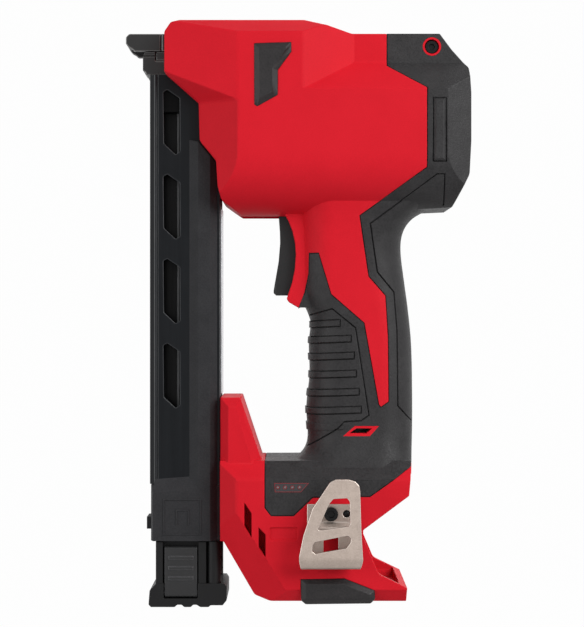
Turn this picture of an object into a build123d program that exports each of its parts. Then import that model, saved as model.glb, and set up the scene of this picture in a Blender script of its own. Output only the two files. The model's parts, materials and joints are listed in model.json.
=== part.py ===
from build123d import *
import os
from math import acos, atan2, cos, hypot, pi, radians, sin, tan

os.makedirs("parts", exist_ok=True)

# Cordless cable stapler, all sizes in millimetres.
# x runs from the nose to the back of the tool, z runs up, y = 0 is the parting plane.
# The left side, y below zero, carries the gauge and the belt hook.

# Running and fitting clearances
RUN_GAP = 0.05
SLIDE_GAP = 0.3
SEAT_GAP = 0.1
PLUG_GAP = 0.5
POCKET_PLAY = 0.5

# Housing shell
WALL = 3.0
OVERMOULD = 1.4
RIB_THICK = 3.0
RIB_COVER = 2.0
BODY_HALF = 31.0
BODY_TOP_HALF = 24.0
BODY_FRONT_X = -8.5
BODY_TOP_Z = 229.0
BODY_SHOULDER_Z = 223.5
BODY_BOTTOM_Z = 153.5
BELLY_RADIUS = 24.0
REAR_X = 110.3
REAR_TOP_Z = 224.0
REAR_BOX_HALF = 21.0
REAR_BOX_SILL_Z = 212.8
DRUM_SIDE_Z = 201.7
PANEL_FRONT_X = 20.1
PANEL_REAR_X = 45.4
BOX_FRONT_X = 65.1
TAIL_X = 101.0
TAIL_HALF = 26.0
JAW_X = 4.6
JAW_HALF = 19.0
JAW_TOP_Z = 197.4
BROW_Z = 209.0
HANDLE_HALF = 19.0
HANDLE_CORNER = 13.5
LIP_HALF = 13.0
BASE_HALF = 27.0
BASE_FRONT_X = 13.0
BASE_TOP_Z = 58.0
BASE_BOTTOM_Z = 3.7
BASE_CHEEK_X = 19.5
BASE_CHEEK_IN = 5.0
CHIN_X = 30.6
CHIN_Z = (20.9, 38.3)
CHIN_FRONT_Z = 26.5
CHIN_IN = 7.0
CROWN_Z = 51.2
CROWN_IN = 6.0
SOLE_Z = 8.5
SOLE_IN = 4.0
COLUMN_HALF = 22.0
COLUMN_BEVEL = 4.0
NOTCH_X = 68.5
WIRE_HOLE_X = (58.0, 66.0)
WIRE_HOLE_HALF = 6.0

# Magazine
MAG_FRONT_X = -15.0
MAG_REAR_X = 12.7
MAG_HALF = 13.2
MAG_WALL = 1.8
MAG_CORNER = 2.0
MAG_BOTTOM_Z = 48.0
MAG_TOP_Z = 209.2
MAG_WINDOW_PITCH = 33.2
MAG_WINDOW_COUNT = 4
MAG_GROOVE_X = (-12.2, -11.6)
MAG_GROOVE_DEEP = 0.4
MAG_RIB_Z = 188.0
STRIP_HALF = 8.0
STRIP_THICK = 0.6
STRIP_BOTTOM_Z = 83.5
COVER_HALF = 15.5
COVER_BOTTOM_Z = 26.0
COVER_TOP_Z = 190.0
SLEEVE_STEP = 0.6
SLEEVE_BEVEL = 0.9
BADGE_X = (-9.6, 5.4)
BADGE_Z = (28.4, 42.6)
BADGE_LINE = 0.6
BADGE_PROUD = 0.3
ICON_X = (-4.6, 0.8)
ICON_Z = (32.4, 38.5)
ICON_LINE = 0.7
TAB_HALF = 6.0
TAB_LENGTH = 2.2
TAB_Z = (29.8, 34.6)
TRACK_HALF = 5.4
TRACK_FRONT_X = -12.4
TRACK_REAR_X = 8.6
TRACK_WALL = 1.6
TRACK_CORNER = 3.0
TRACK_TOP_Z = 206.0
FOLLOWER_TOP_Z = 208.5
FOLLOWER_HEIGHT = 14.0
ROLL_X = -2.0
ROLL_RADIUS = 2.3
ROLL_BORE = 1.3
ROLL_Y = (-9.6, -6.2)
END_HEIGHT = 9.3
END_HALF = 14.6
PLUG_RISE = 8.0
LATCH_X = (-9.0, 3.7)
LATCH_Z = (3.7, 23.7)
LATCH_THICK = 2.4
LATCH_EDGE = 1.0
LATCH_INSET = 0.6
LATCH_HINGE_Z = 5.6
LATCH_HINGE = 0.9
LATCH_PIN = 1.2
RIDGE_X = (-7.5, 2.2)
RIDGE_Z = (10.6, 14.6, 18.6)
RIDGE_TALL = 1.3
RIDGE_PROUD = 0.5
STEM_INSET = 0.4
STEM_FRONT_X = (-12.4, -9.7)
STEM_REAR_X = (4.3, 7.3)
STEM_WEB_X = (7.0, 10.4)
STEM_FOOT = 0.6
POST_X = 10.3
POST_RADIUS = 2.8

# Nose and driver
DRIVE_Z = 214.0
BLADE_HALF = 7.0
BLADE_THICK = 2.6
BLADE_GAP = 0.4
BLADE_SETBACK = 0.6
BLADE_SEAT = 4.0
NOSE_FRONT_X = -17.8
NOSE_HALF = 11.0
NOSE_TOP_Z = 218.3
NOSE_REAR_X = 13.0
NOSE_RIB_X = 2.0
HOOD_FRONT_X = -24.5
HOOD_TOP_Z = 225.4
HOOD_THICK = 4.0
HOOD_SIDE = 2.4
CONTACT_TRAVEL = 5.0
CONTACT_SPRING_SHUT = 6.1
CONTACT_SPRING_RADIUS = 1.4
CONTACT_SPRING_WIRE = 0.5
CONTACT_SPRING_TURNS = 5
DRIVE_STROKE = 29.0
FRONT_PLATE_THICK = 3.0
FRONT_PLATE_HALF = 19.0
FRONT_PLATE_Z = (203.0, 224.8)
REAR_PLATE_X = 88.0
REAR_PLATE_THICK = 3.0
REAR_PLATE_HALF = 17.4
REAR_PLATE_Z = (204.5, 220.4)
BUMPER_THICK = 3.8
BUMPER_HALF = 14.5
BUMPER_Z = (210.6, 219.6)
CARRIAGE_LENGTH = 30.0
CARRIAGE_HALF = 16.0
CARRIAGE_BOTTOM_Z = 208.2
CARRIAGE_TOP_Z = 220.0
ROD_RADIUS = 2.5
ROD_WEB = 0.6
SPRING_WIRE = 1.3
SPRING_RADIUS = 3.85
SPRING_TURNS = 14
SPRING_POCKET = 24.0

# Gear train
GEAR_ANGLE = 25.0
BACKLASH = 0.16
ADDENDUM = 0.9
DEDENDUM = 1.2
RACK_MODULE = 1.25
RACK_HALF = 3.5
RACK_BED = 1.1
RACK_SEAT = 1.9
RACK_LEAD = 2.5
RACK_RUNOUT = 3.5
RACK_TAIL = 4.5
LIFTER_TEETH = 12
SPUR_MODULE = 1.0
SPUR_WIDTH = 3.0
SPUR_SIDE_GAP = 0.4
LIFTER_SPUR_TEETH = 14
MID_SPUR_TEETH = 22
SPUR_LEAN = 60.0
BEVEL_MODULE = 1.0
BEVEL_PINION_TEETH = 12
BEVEL_GEAR_TEETH = 24
BEVEL_SMALL_END = 0.68
BEVEL_RIM = 0.5
BEVEL_HUB_STEP = 3.0
BEVEL_HUB_GAP = 0.5
PINION_NECK = 2.4
PLANET_MODULE = 0.6
SUN_TEETH = 12
PLANET_TEETH = 18
PLANET_COUNT = 3
PLANET_WIDTH = 5.5
PLANET_PIN = 1.5
RING_LEAD = 0.2
CARRIER_THICK = 2.5
CARRIER_RIM = 2.8
OUTPUT_RADIUS = 4.0
SHAFT_RADIUS = 3.0
CHEEK_Y = 11.0
CHEEK_THICK = 3.0
CHEEK_MARGIN = 5.5
CHEEK_ROOT = 11.5
CHEEK_FOOT = (6.0, 9.0)
CASE_RADIUS = 18.5
CASE_WALL = 2.0
CASE_FLANGE = 2.5
BULKHEAD_GAP = 1.0
MOTOR_GAP = 0.7
MOTOR_RADIUS = 19.0
MOTOR_LENGTH = 20.0
MOTOR_WALL = 1.5
MOTOR_END = 2.0
MOTOR_BEARING = 2.5
CORE_FRONT = 4.0
CORE_REAR = 2.5
ROTOR_RADIUS = 10.0
ROTOR_SHAFT = 2.0
AIR_GAP = 0.5
STATOR_TIP = 2.5
STATOR_YOKE = 2.0
STATOR_SLOTS = 6
STATOR_SLOT = 5.2

# Trigger and electrics
TRIGGER_HALF = 8.0
TRIGGER_TRAVEL = 5.0
TRIGGER_REAR_X = 44.0
TRIGGER_Z = (122.4, 154.3)
TRIGGER_EDGE = 1.5
PLUNGER_RADIUS = 2.0
PLUNGER_SEAT = 1.0
TRIGGER_ROOM_X = 20.0
SWITCH_X = 49.6
SWITCH_LENGTH = 18.0
SWITCH_HALF = 8.5
SWITCH_BOTTOM_Z = 124.0
SWITCH_TOP_Z = 151.0
BOARD_THICK = 1.6
BOARD_X = (54.0, 80.0)
BOARD_Z = (64.0, 110.0)
BAY_HALF = 17.5
BAY_WALL = 1.5
BAY_TOP_Z = 48.5
BAY_ROOF = 2.5
BLOCK_X = (18.5, 26.0)
BLOCK_HALF = 13.0
BLOCK_Z = (22.0, 44.0)
TERMINAL_Y = 8.0
TERMINAL_THICK = 0.8
TERMINAL_LENGTH = 12.0
TERMINAL_ROOT = 1.0
TERMINAL_HALF_Z = 5.0
GAUGE_THICK = 1.2
LAMP_COUNT = 4
LAMP_START = (35.5, 48.1)
LAMP_PITCH = 2.8
LAMP_RADIUS = 0.75
LAMP_DEEP = 0.4

# Belt hook, screws and trim
HOOK_SHEET = 1.6
HOOK_GAP = 7.4
HOOK_JOGGLE = 1.4
HOOK_JOGGLE_Z = (32.6, 34.6)
HOOK_ROOT_Z = 41.8
HOOK_BEND_Z = 17.5
HOOK_TIP_Z = 52.2
HOOK_STRIP_X = (40.0, 72.0)
HOOK_BACK_X = (46.8, 65.2)
HOOK_SLOT_X = (53.1, 58.8)
HOOK_SLOT_Z = (20.5, 31.5)
HOOK_SCREW_X = 56.0
HOOK_SCREW_Z = 38.1
HOOK_HEAD = 2.7
HOOK_HEAD_DEEP = 2.2
HOOK_KEY = 1.5
HOOK_KEY_DEEP = 1.3
PEG_HOLE = 1.4
PEG_PITCH = 6.0
INSERT_RADIUS = 2.9
INSERT_HOLE = 1.65
INSERT_LENGTH = 8.0
INSERT_BOSS = 2.0
SCREW_SHANK = 1.4
SCREW_HEAD = 2.5
SCREW_HEAD_DEEP = 2.0
SCREW_KEY = 1.3
SCREW_KEY_DEEP = 1.2
SCREW_SEAT_Y = 9.0
SCREW_TIP_Y = 11.0
SCREW_RUNOUT = 1.0
TAIL_SCREW = (95.4, 219.0)
TAIL_HEAD_IN = 1.0
NECK_SCREW = (79.0, 131.0)
BASE_SCREW = (23.0, 66.0)
BOSS_RADIUS = 3.6
PAD_SEAT = 1.0
PAD_PROUD = 1.4
PAD_EDGE = 2.0
PLATE_DEEP = 0.6
SLOT_FLOOR_Y = -8.0
GRIP_RIB_FRONT_X = 40.0
GRIP_RIB_HALF = 1.3
GRIP_RIB_DROP = 1.0
GRIP_RIB_PROUD = 0.5
REAR_RIB_PROUD = 0.8
REAR_RIB_EDGE = 0.9

# Side-view outlines, (x, z)
BODY_OUTLINE = [
    (BODY_FRONT_X, BROW_Z), (BODY_FRONT_X, 224.5), (-6.0, 228.0), (-2.5, BODY_TOP_Z), (46.0, BODY_TOP_Z),
    (BOX_FRONT_X - 1.0, REAR_TOP_Z), (98.5, REAR_TOP_Z), (103.1, 217.8), (109.6, 210.6), (REAR_X, 200.5),
    (REAR_X, 182.0), (109.6, 169.0), (103.4, 156.6), (62.0, BODY_BOTTOM_Z + 1.0), (60.0, BODY_BOTTOM_Z),
    (21.3, BODY_BOTTOM_Z), (13.6, 159.3), (12.2, 164.7), (11.6, 174.6), (5.0, 182.6), (JAW_X, JAW_TOP_Z),
]
LIP_OUTLINE = [
    (56.0, 117.5), (43.4, 117.6), (39.6, 119.8), (38.9, 121.0), (39.5, 122.8), (41.0, 127.2), (42.1, 132.6),
    (42.5, 138.6), (42.2, 143.0), (41.2, 147.6), (39.7, 151.5), (37.4, 155.5), (56.0, 157.0),
]
NOTCH_CORNER = (86.2, 44.8)
BASE_OUTLINE = [
    (BASE_FRONT_X, CHIN_FRONT_Z), (14.4, CHIN_FRONT_Z), (26.4, 5.8), (32.3, BASE_BOTTOM_Z),
    (85.3, BASE_BOTTOM_Z), NOTCH_CORNER, (87.4, BASE_TOP_Z), (BASE_FRONT_X, BASE_TOP_Z),
]
COLUMN_FOOT = [(BASE_FRONT_X, 50.0), (BASE_FRONT_X, 82.5), (20.9, 82.5), (29.2, 57.8), (31.5, 50.0)]
COLUMN_CROWN = [(16.2, 50.0), (16.2, 79.0), (19.2, 79.0), (25.2, 57.8), (27.0, 50.0)]
NOTCH_OUTLINE = [
    (99.0, 54.3), NOTCH_CORNER, (NOTCH_X, 31.6), (NOTCH_X, 28.8), (74.5, 14.6), (85.2, 9.4), (99.0, 9.4),
]
OVERMOULD_OUTLINE = [
    (77.8, 240.0), (77.8, 211.3), (92.8, 202.1), (92.8, 171.5), (67.2, 153.4), (70.8, 129.6), (77.4, 122.1),
    (78.4, 105.5), (78.6, 80.9), (75.7, 78.9), (75.0, 79.8), (69.3, 111.6), (56.4, 122.8), (51.5, 139.0),
    (47.6, 139.0), (47.4, 130.8), (45.9, 123.5), (43.6, 117.6), (36.0, 114.0), (36.0, 66.0), (30.4, 60.0),
    (30.4, 40.2), (32.9, 37.0), (41.7, 37.0), (49.1, 44.1), (71.2, 44.4), (85.8, 54.9), (98.0, 63.8),
    (130.0, 63.8), (130.0, 240.0),
]
VENT_OUTLINES = [
    [(22.6, 42.3), (25.4, 38.1), (25.4, 28.7), (22.6, 33.0)],
    [(28.1, 32.7), (30.8, 29.9), (30.8, 21.1), (28.1, 25.0)],
]
PLATE_RECESS = [(32.5, 32.6), (43.0, 32.6), (43.0, 27.8), (32.5, 27.8)]
SLOT_RIM = [(60.9, 67.4), (65.5, 71.3), (74.9, 71.3), (71.4, 67.4)]
SLOT_HOLE = [(63.3, 68.5), (66.2, 70.5), (72.4, 70.5), (69.9, 68.5)]
GAUGE_OUTLINE = [(34.1, 49.8), (47.5, 49.8), (44.5, 46.3), (34.4, 46.3)]
BODY_PAD = [
    (26.5, 218.9), (40.7, 219.4), (40.7, 215.7), (35.5, 208.6), (35.5, 199.1), (27.7, 194.7), (26.6, 195.4),
]
FOOT_PAD = [
    (44.3, 12.7), (61.2, 13.0), (72.9, 8.5), (73.1, 5.1), (71.4, 3.3), (46.2, 3.0), (44.5, 4.5),
]
REAR_RIB = [(95.4, 173.8), (100.0, 173.8), (100.0, 197.9), (95.4, 197.9)]
GRIP_RIBS = [
    (59.7, 111.5), (64.0, 105.4), (65.2, 98.8), (66.0, 91.8), (67.1, 84.7), (67.9, 77.7), (61.0, 71.3),
]
MAG_WINDOW = [
    (-9.5, 202.3), (-8.0, 203.1), (-3.2, 199.8), (-3.1, 178.8), (-4.7, 177.7), (-9.3, 182.0),
]
TRIGGER_OUTLINE = [
    (35.7, TRIGGER_Z[1]), (36.2, 147.3), (36.3, 143.0), (35.7, 135.7), (33.7, 124.2), (33.7, 123.3),
    (34.6, TRIGGER_Z[0]), (TRIGGER_REAR_X, TRIGGER_Z[0]), (TRIGGER_REAR_X, TRIGGER_Z[1]),
]
HOOK_FRONT = [
    (57.6, HOOK_TIP_Z), (62.5, HOOK_TIP_Z), (65.0, 51.5), (66.5, 49.8), (66.9, 47.8), (67.3, 32.8),
    (68.0, 21.3), (67.1, 17.0), (44.4, 17.0), (43.7, 21.0), (43.7, 22.9), (45.3, 30.8), (48.8, 41.2),
    (52.8, 47.1), (55.4, 51.0),
]
HOOK_WINDOWS = [
    [
        (56.7, 44.8), (61.9, 45.1), (62.9, 43.8), (63.2, 35.3), (62.5, 34.4), (51.4, 32.9), (50.9, 33.4),
        (55.1, 42.9),
    ],
    [
        (49.5, 28.4), (62.2, 30.9), (63.4, 29.8), (63.2, 28.2), (61.6, 26.1), (49.8, 24.0), (48.7, 24.9),
        (48.8, 27.2),
    ],
]
COVER_CHEEK = [
    (0.6, COVER_BOTTOM_Z), (0.6, 183.4), (4.2, 182.6), (10.9, 174.4), (11.6, 164.7), (11.6, COVER_BOTTOM_Z),
]
LEDGE_OUTLINE = [(-13.5, 44.0), (6.0, 44.0), (6.0, 46.4), (1.4, 54.0), (-12.9, 50.2)]
END_OUTLINE = [
    (-12.3, END_HEIGHT), (-14.9, 6.5), (-15.3, 1.0), (-14.4, 0.0), (-5.0, 0.0), (-4.1, 0.9), (-2.3, 0.9),
    (-1.3, 0.0), (1.3, 0.0), (2.2, 0.9), (3.6, 0.9), (5.0, 0.0), (8.3, 0.0), (9.0, 0.7), (13.8, 0.7),
    (15.4, 2.7), (15.4, 7.9), (14.5, END_HEIGHT),
]
# Plan outlines, (x, y)
MAG_PLAN = [
    (MAG_FRONT_X, -MAG_HALF + MAG_CORNER), (MAG_FRONT_X, MAG_HALF - MAG_CORNER),
    (MAG_FRONT_X + MAG_CORNER, MAG_HALF), (MAG_REAR_X, MAG_HALF), (MAG_REAR_X, -MAG_HALF),
    (MAG_FRONT_X + MAG_CORNER, -MAG_HALF),
]
CHEEK_PLAN = [
    (0.6, -MAG_HALF), (4.2, -COVER_HALF), (8.9, -COVER_HALF), (11.6, -MAG_HALF - 0.2), (11.6, -MAG_HALF),
]
# Handle sections from below: height, front x, back x, half width
HANDLE_SECTIONS = [
    (52.0, 37.0, 88.0, HANDLE_HALF + 5.0),
    (57.0, 42.0, 88.2, HANDLE_HALF + 3.5),
    (62.0, 46.4, 88.4, HANDLE_HALF + 1.4),
    (68.0, 47.3, 88.6, HANDLE_HALF + 0.2),
    (84.0, 47.3, 88.7, HANDLE_HALF),
    (100.0, 47.8, 88.4, HANDLE_HALF),
    (112.0, 48.4, 87.5, HANDLE_HALF),
    (122.0, 45.0, 86.3, HANDLE_HALF),
    (132.0, 44.0, 84.9, HANDLE_HALF),
    (143.0, 44.0, 84.1, HANDLE_HALF + 0.4),
    (150.0, 44.0, 86.3, HANDLE_HALF + 1.2),
    (156.0, 44.0, 94.0, HANDLE_HALF + 2.5),
    (165.0, 44.0, 99.0, HANDLE_HALF + 4.0),
]

# Places that follow from the sizes above
ROD_Y = BLADE_HALF + BLADE_GAP + ROD_WEB + ROD_RADIUS
LIFTER_R = RACK_MODULE * LIFTER_TEETH / 2
BEVEL_PINION_R = BEVEL_MODULE * BEVEL_PINION_TEETH / 2
BEVEL_GEAR_R = BEVEL_MODULE * BEVEL_GEAR_TEETH / 2
SUN_R = PLANET_MODULE * SUN_TEETH / 2
PLANET_R = PLANET_MODULE * PLANET_TEETH / 2
RING_TEETH = SUN_TEETH + 2 * PLANET_TEETH
ORBIT_R = SUN_R + PLANET_R
SPUR_CENTRES = SPUR_MODULE * (LIFTER_SPUR_TEETH + MID_SPUR_TEETH) / 2
RACK_Z = CARRIAGE_BOTTOM_Z - DEDENDUM * RACK_MODULE - RACK_BED
LIFTER_Z = RACK_Z - LIFTER_R
MOTOR_Z = LIFTER_Z - SPUR_CENTRES * sin(radians(SPUR_LEAN))
FRONT_PLATE_X = NOSE_REAR_X + SEAT_GAP
HOOD_REAR_X = FRONT_PLATE_X - CONTACT_SPRING_SHUT - CONTACT_TRAVEL
BUMPER_X = FRONT_PLATE_X + FRONT_PLATE_THICK
CARRIAGE_X = BUMPER_X + BUMPER_THICK + SLIDE_GAP
REAR_PLATE_END_X = REAR_PLATE_X + REAR_PLATE_THICK
RACK_FRONT_X = CARRIAGE_X - RACK_LEAD
LIFTER_X = RACK_FRONT_X + DRIVE_STROKE + RACK_RUNOUT
MID_X = LIFTER_X + SPUR_CENTRES * cos(radians(SPUR_LEAN))
BULKHEAD_X = MID_X + BEVEL_GEAR_R + BULKHEAD_GAP
CARRIER_X = BULKHEAD_X + CHEEK_THICK + SLIDE_GAP
PLANET_X = CARRIER_X + CARRIER_THICK + SLIDE_GAP
CASE_END_X = PLANET_X + PLANET_WIDTH + SLIDE_GAP
MOTOR_X = CASE_END_X + MOTOR_GAP
CHEEK_OUT = CHEEK_Y + CHEEK_THICK
CHANNEL_X = (MAG_FRONT_X + MAG_WALL, MAG_REAR_X - MAG_WALL)
CHANNEL_HALF = MAG_HALF - MAG_WALL
PLUG_X = (CHANNEL_X[0] + PLUG_GAP, CHANNEL_X[1] - PLUG_GAP)
PLUG_HALF = CHANNEL_HALF - PLUG_GAP
PLUG_TOP_Z = COVER_BOTTOM_Z + PLUG_RISE
BAY_ROOF_Z = BAY_TOP_Z + BAY_ROOF
OUTSIDE_Y = -2 * BODY_HALF
LEFT_SIDE = (OUTSIDE_Y, 0.0)
FAR = 400.0


def side_prism(points, y_near, y_far, shrink=0.0):
    """Solid from a side-view outline of (x, z) points, between two y planes."""
    with BuildPart() as prism:
        with BuildSketch(Plane.XZ.offset(-y_far)):
            Polygon(*points, align=None)
            if shrink:
                offset(amount=-shrink, kind=Kind.INTERSECTION)
        extrude(amount=y_far - y_near)
    return prism.part


def plan_prism(points, z_range, shrink=0.0):
    """Solid from a plan outline of (x, y) points, between two heights."""
    with BuildPart() as prism:
        with BuildSketch(Plane.XY.offset(z_range[0])):
            Polygon(*points, align=None)
            if shrink:
                offset(amount=-shrink, kind=Kind.INTERSECTION)
        extrude(amount=z_range[1] - z_range[0])
    return prism.part


def block(x_range, y_range, z_range):
    """Plain box between three pairs of planes."""
    with BuildPart() as box:
        with Locations((sum(x_range) / 2, sum(y_range) / 2, sum(z_range) / 2)):
            Box(x_range[1] - x_range[0], y_range[1] - y_range[0], z_range[1] - z_range[0])
    return box.part


def grown(size, gap):
    """Box size with the same gap on every side."""
    return [(low - gap, high + gap) for low, high in size]


def about(half):
    """Range that reaches the same way to both sides of the parting plane."""
    return (-half, half)


def x_bar(radius, x_range, y=0.0, z=0.0):
    """Round bar along x."""
    with BuildPart() as bar:
        with BuildSketch(Plane.YZ.offset(x_range[0])):
            with Locations((y, z)):
                Circle(radius)
        extrude(amount=x_range[1] - x_range[0])
    return bar.part


def y_bar(radius, y_range, x, z):
    """Round bar along y."""
    with BuildPart() as bar:
        with BuildSketch(Plane.XZ.offset(-y_range[1])):
            with Locations((x, z)):
                Circle(radius)
        extrude(amount=y_range[1] - y_range[0])
    return bar.part


def joined(*pieces):
    """One solid from pieces that touch."""
    with BuildPart() as whole:
        add(pieces)
    return whole.part


def cut(body, *tools):
    """What is left of a body when the tools are taken away."""
    with BuildPart() as rest:
        add(body)
        add(tools, mode=Mode.SUBTRACT)
    return rest.part


def common(body, *tools):
    """What a body shares with every tool."""
    with BuildPart() as rest:
        add(body)
        for tool in tools:
            add(tool, mode=Mode.INTERSECT)
    return rest.part


def across(body):
    """The same solid on the other side of the parting plane."""
    with BuildPart() as twin:
        add(body)
        mirror(about=Plane.XZ, mode=Mode.REPLACE)
    return twin.part


def save(name, solid):
    """Write one named piece."""
    with BuildPart() as node:
        add(solid)
    node.part.label = name
    export_step(node.part, f"parts/{name}.step")


def facet(first, second, third):
    """Plane through three points, with its normal out of the left side."""
    origin = Vector(*first)
    normal = (Vector(*second) - origin).cross(Vector(*third) - origin).normalized()
    return origin, normal if normal.Y < 0 else normal * -1


def upright(first, second):
    """Upright plane through two plan points (x, y)."""
    return facet((*first, 0.0), (*second, 0.0), (*first, 1.0))


def level(first, second):
    """Plane along x through two points (y, z)."""
    return facet((0.0, *first), (0.0, *second), (1.0, *first))


def beyond(planes, shrink=0.0):
    """The space outside all of the planes, each first moved inward."""
    with BuildPart() as space:
        Box(2 * FAR, 2 * FAR, 2 * FAR)
        for origin, normal in planes:
            split(bisect_by=Plane(origin=origin - normal * shrink, z_dir=normal), keep=Keep.TOP)
    return space.part


def body_shape(shrink):
    """Left half of the upper body, shrunk all over by one amount."""
    middle = BODY_BOTTOM_Z + BELLY_RADIUS
    inner = BODY_HALF - BELLY_RADIUS
    bow = BELLY_RADIUS * cos(radians(45))
    flank = side_prism(BODY_OUTLINE, -BODY_HALF + shrink, 0, shrink)
    with BuildPart() as tunnel:
        with BuildSketch(Plane.YZ.offset(BODY_FRONT_X - WALL)):
            with BuildLine():
                Polyline((BODY_HALF, BODY_BOTTOM_Z), (-inner, BODY_BOTTOM_Z))
                ThreePointArc((-inner, BODY_BOTTOM_Z), (-inner - bow, middle - bow), (-BODY_HALF, middle))
                Polyline(
                    (-BODY_HALF, middle), (-BODY_HALF, BODY_SHOULDER_Z), (-BODY_TOP_HALF, BODY_TOP_Z),
                    (BODY_HALF, BODY_TOP_Z), (BODY_HALF, BODY_BOTTOM_Z),
                )
            make_face()
            if shrink:
                offset(amount=-shrink, kind=Kind.INTERSECTION)
        extrude(amount=REAR_X - BODY_FRONT_X + 2 * WALL)
    cheek = upright((PANEL_FRONT_X, -BODY_HALF), (BODY_FRONT_X, -BODY_TOP_HALF))
    tail = upright((TAIL_X, -BODY_HALF), (REAR_X, -TAIL_HALF))
    waist = upright((PANEL_REAR_X, -BODY_HALF), (BOX_FRONT_X, -REAR_BOX_HALF))
    shoulder = level((-BODY_HALF, DRUM_SIDE_Z), (-REAR_BOX_HALF, REAR_BOX_SILL_Z))
    box_side = upright((BOX_FRONT_X, -REAR_BOX_HALF), (REAR_X, -REAR_BOX_HALF))
    jaw = upright((PANEL_FRONT_X, -BODY_HALF), (JAW_X, -JAW_HALF))
    brow = facet(
        (BODY_FRONT_X, -BODY_TOP_HALF, BROW_Z), (PANEL_FRONT_X, -BODY_HALF, JAW_TOP_Z),
        (JAW_X, -JAW_HALF, JAW_TOP_Z),
    )
    return cut(
        common(flank, tunnel.part), beyond([cheek], shrink), beyond([tail], shrink),
        beyond([waist, shoulder, box_side], shrink), beyond([jaw, brow], shrink),
    )


def handle_shape(shrink):
    """Left half of the lofted handle, shrunk all over by one amount."""
    with BuildPart() as grip:
        for height, front, back, half in HANDLE_SECTIONS:
            with BuildSketch(Plane.XY.offset(height)):
                with Locations(((front + back) / 2, 0)):
                    RectangleRounded(back - front - 2 * shrink, 2 * (half - shrink), HANDLE_CORNER - shrink)
        loft()
        split(bisect_by=Plane.XZ, keep=Keep.TOP)
    return grip.part


def base_shape(shrink):
    """Left half of the base and its front column, shrunk all over by one amount."""
    front = upright((BASE_CHEEK_X, -BASE_HALF), (BASE_FRONT_X, -BASE_HALF + BASE_CHEEK_IN))
    chin = facet(
        (BASE_CHEEK_X, -BASE_HALF, CHIN_Z[1]), (CHIN_X, -BASE_HALF, CHIN_Z[0]),
        (BASE_FRONT_X, -BASE_HALF + CHIN_IN, CHIN_FRONT_Z),
    )
    crown = level((-BASE_HALF, CROWN_Z), (-BASE_HALF + CROWN_IN, BASE_TOP_Z))
    sole = level((-BASE_HALF, SOLE_Z), (-BASE_HALF + SOLE_IN, BASE_BOTTOM_Z))
    lower = cut(
        side_prism(BASE_OUTLINE, -BASE_HALF + shrink, 0, shrink),
        *[beyond([plane], shrink) for plane in (front, chin, crown, sole)],
    )
    face_y = COLUMN_HALF - shrink
    with BuildPart() as column:
        outlines = (COLUMN_FOOT, COLUMN_FOOT, COLUMN_CROWN)
        for out, outline in zip((0.0, face_y - COLUMN_BEVEL, face_y), outlines):
            with BuildSketch(Plane.XZ.offset(out)):
                Polygon(*outline, align=None)
                if shrink:
                    offset(amount=-shrink, kind=Kind.INTERSECTION)
        loft(ruled=True)
    return joined(lower, column.part)


def shell_shape(shrink):
    """Left half of the whole housing form, shrunk all over by one amount."""
    lip = side_prism(LIP_OUTLINE, -LIP_HALF + shrink, 0, shrink)
    return joined(body_shape(shrink), handle_shape(shrink), base_shape(shrink), lip)


def raised_pad(points, face_y, seat, proud, edge):
    """Pad seated in a side wall, its proud edge bevelled all round."""
    with BuildPart() as pad:
        with BuildSketch(Plane.XZ.offset(-face_y - seat)):
            Polygon(*points, align=None)
        extrude(amount=seat)
        with BuildSketch(Plane.XZ.offset(-face_y)):
            Polygon(*points, align=None)
        with BuildSketch(Plane.XZ.offset(-face_y + proud)):
            Polygon(*points, align=None)
            offset(amount=-edge, kind=Kind.INTERSECTION)
        loft(ruled=True)
    return pad.part


def hex_socket(radius, head_y, depth, place):
    """Hexagon key socket sunk along y from a screw head's face."""
    with BuildPart() as key:
        with BuildSketch(Plane.XZ.offset(-head_y)):
            with Locations(place):
                RegularPolygon(radius, 6)
        extrude(amount=-depth)
    return key.part


def case_screw(head_y, tip_y, place):
    """Housing screw along y with a cylinder head at head_y and its tip at tip_y."""
    way = 1 if tip_y > head_y else -1
    seat_y = head_y + way * SCREW_HEAD_DEEP
    return cut(
        joined(
            y_bar(SCREW_HEAD, sorted((head_y, seat_y)), *place),
            y_bar(SCREW_SHANK, sorted((seat_y, tip_y)), *place),
        ),
        hex_socket(SCREW_KEY, head_y, way * SCREW_KEY_DEEP, place),
    )


def half_angle(radius, pitch_radius, teeth, thin):
    """Half the angle that an involute tooth covers at one radius."""
    base = pitch_radius * cos(radians(GEAR_ANGLE))
    lean = acos(min(1.0, base / max(radius, base)))
    start = radians(GEAR_ANGLE)
    return pi / (2 * teeth) - thin / (2 * pitch_radius) + (tan(start) - start) - (tan(lean) - lean)


def gear_points(teeth, module, phase, inner=DEDENDUM, rise=ADDENDUM, thin=BACKLASH):
    """Closed outline of a straight-cut gear with one tooth at the phase angle in degrees."""
    pitch_radius = teeth * module / 2
    low = pitch_radius - inner * module
    high = pitch_radius + rise * module
    radii = [low, (low + pitch_radius) / 2, pitch_radius, (pitch_radius + high) / 2, high]
    points = []
    for tooth in range(teeth):
        centre = radians(phase) + 2 * pi * tooth / teeth
        for radius in radii:
            angle = centre - half_angle(radius, pitch_radius, teeth, thin)
            points.append((radius * cos(angle), radius * sin(angle)))
        for radius in reversed(radii):
            angle = centre + half_angle(radius, pitch_radius, teeth, thin)
            points.append((radius * cos(angle), radius * sin(angle)))
    return points


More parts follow.
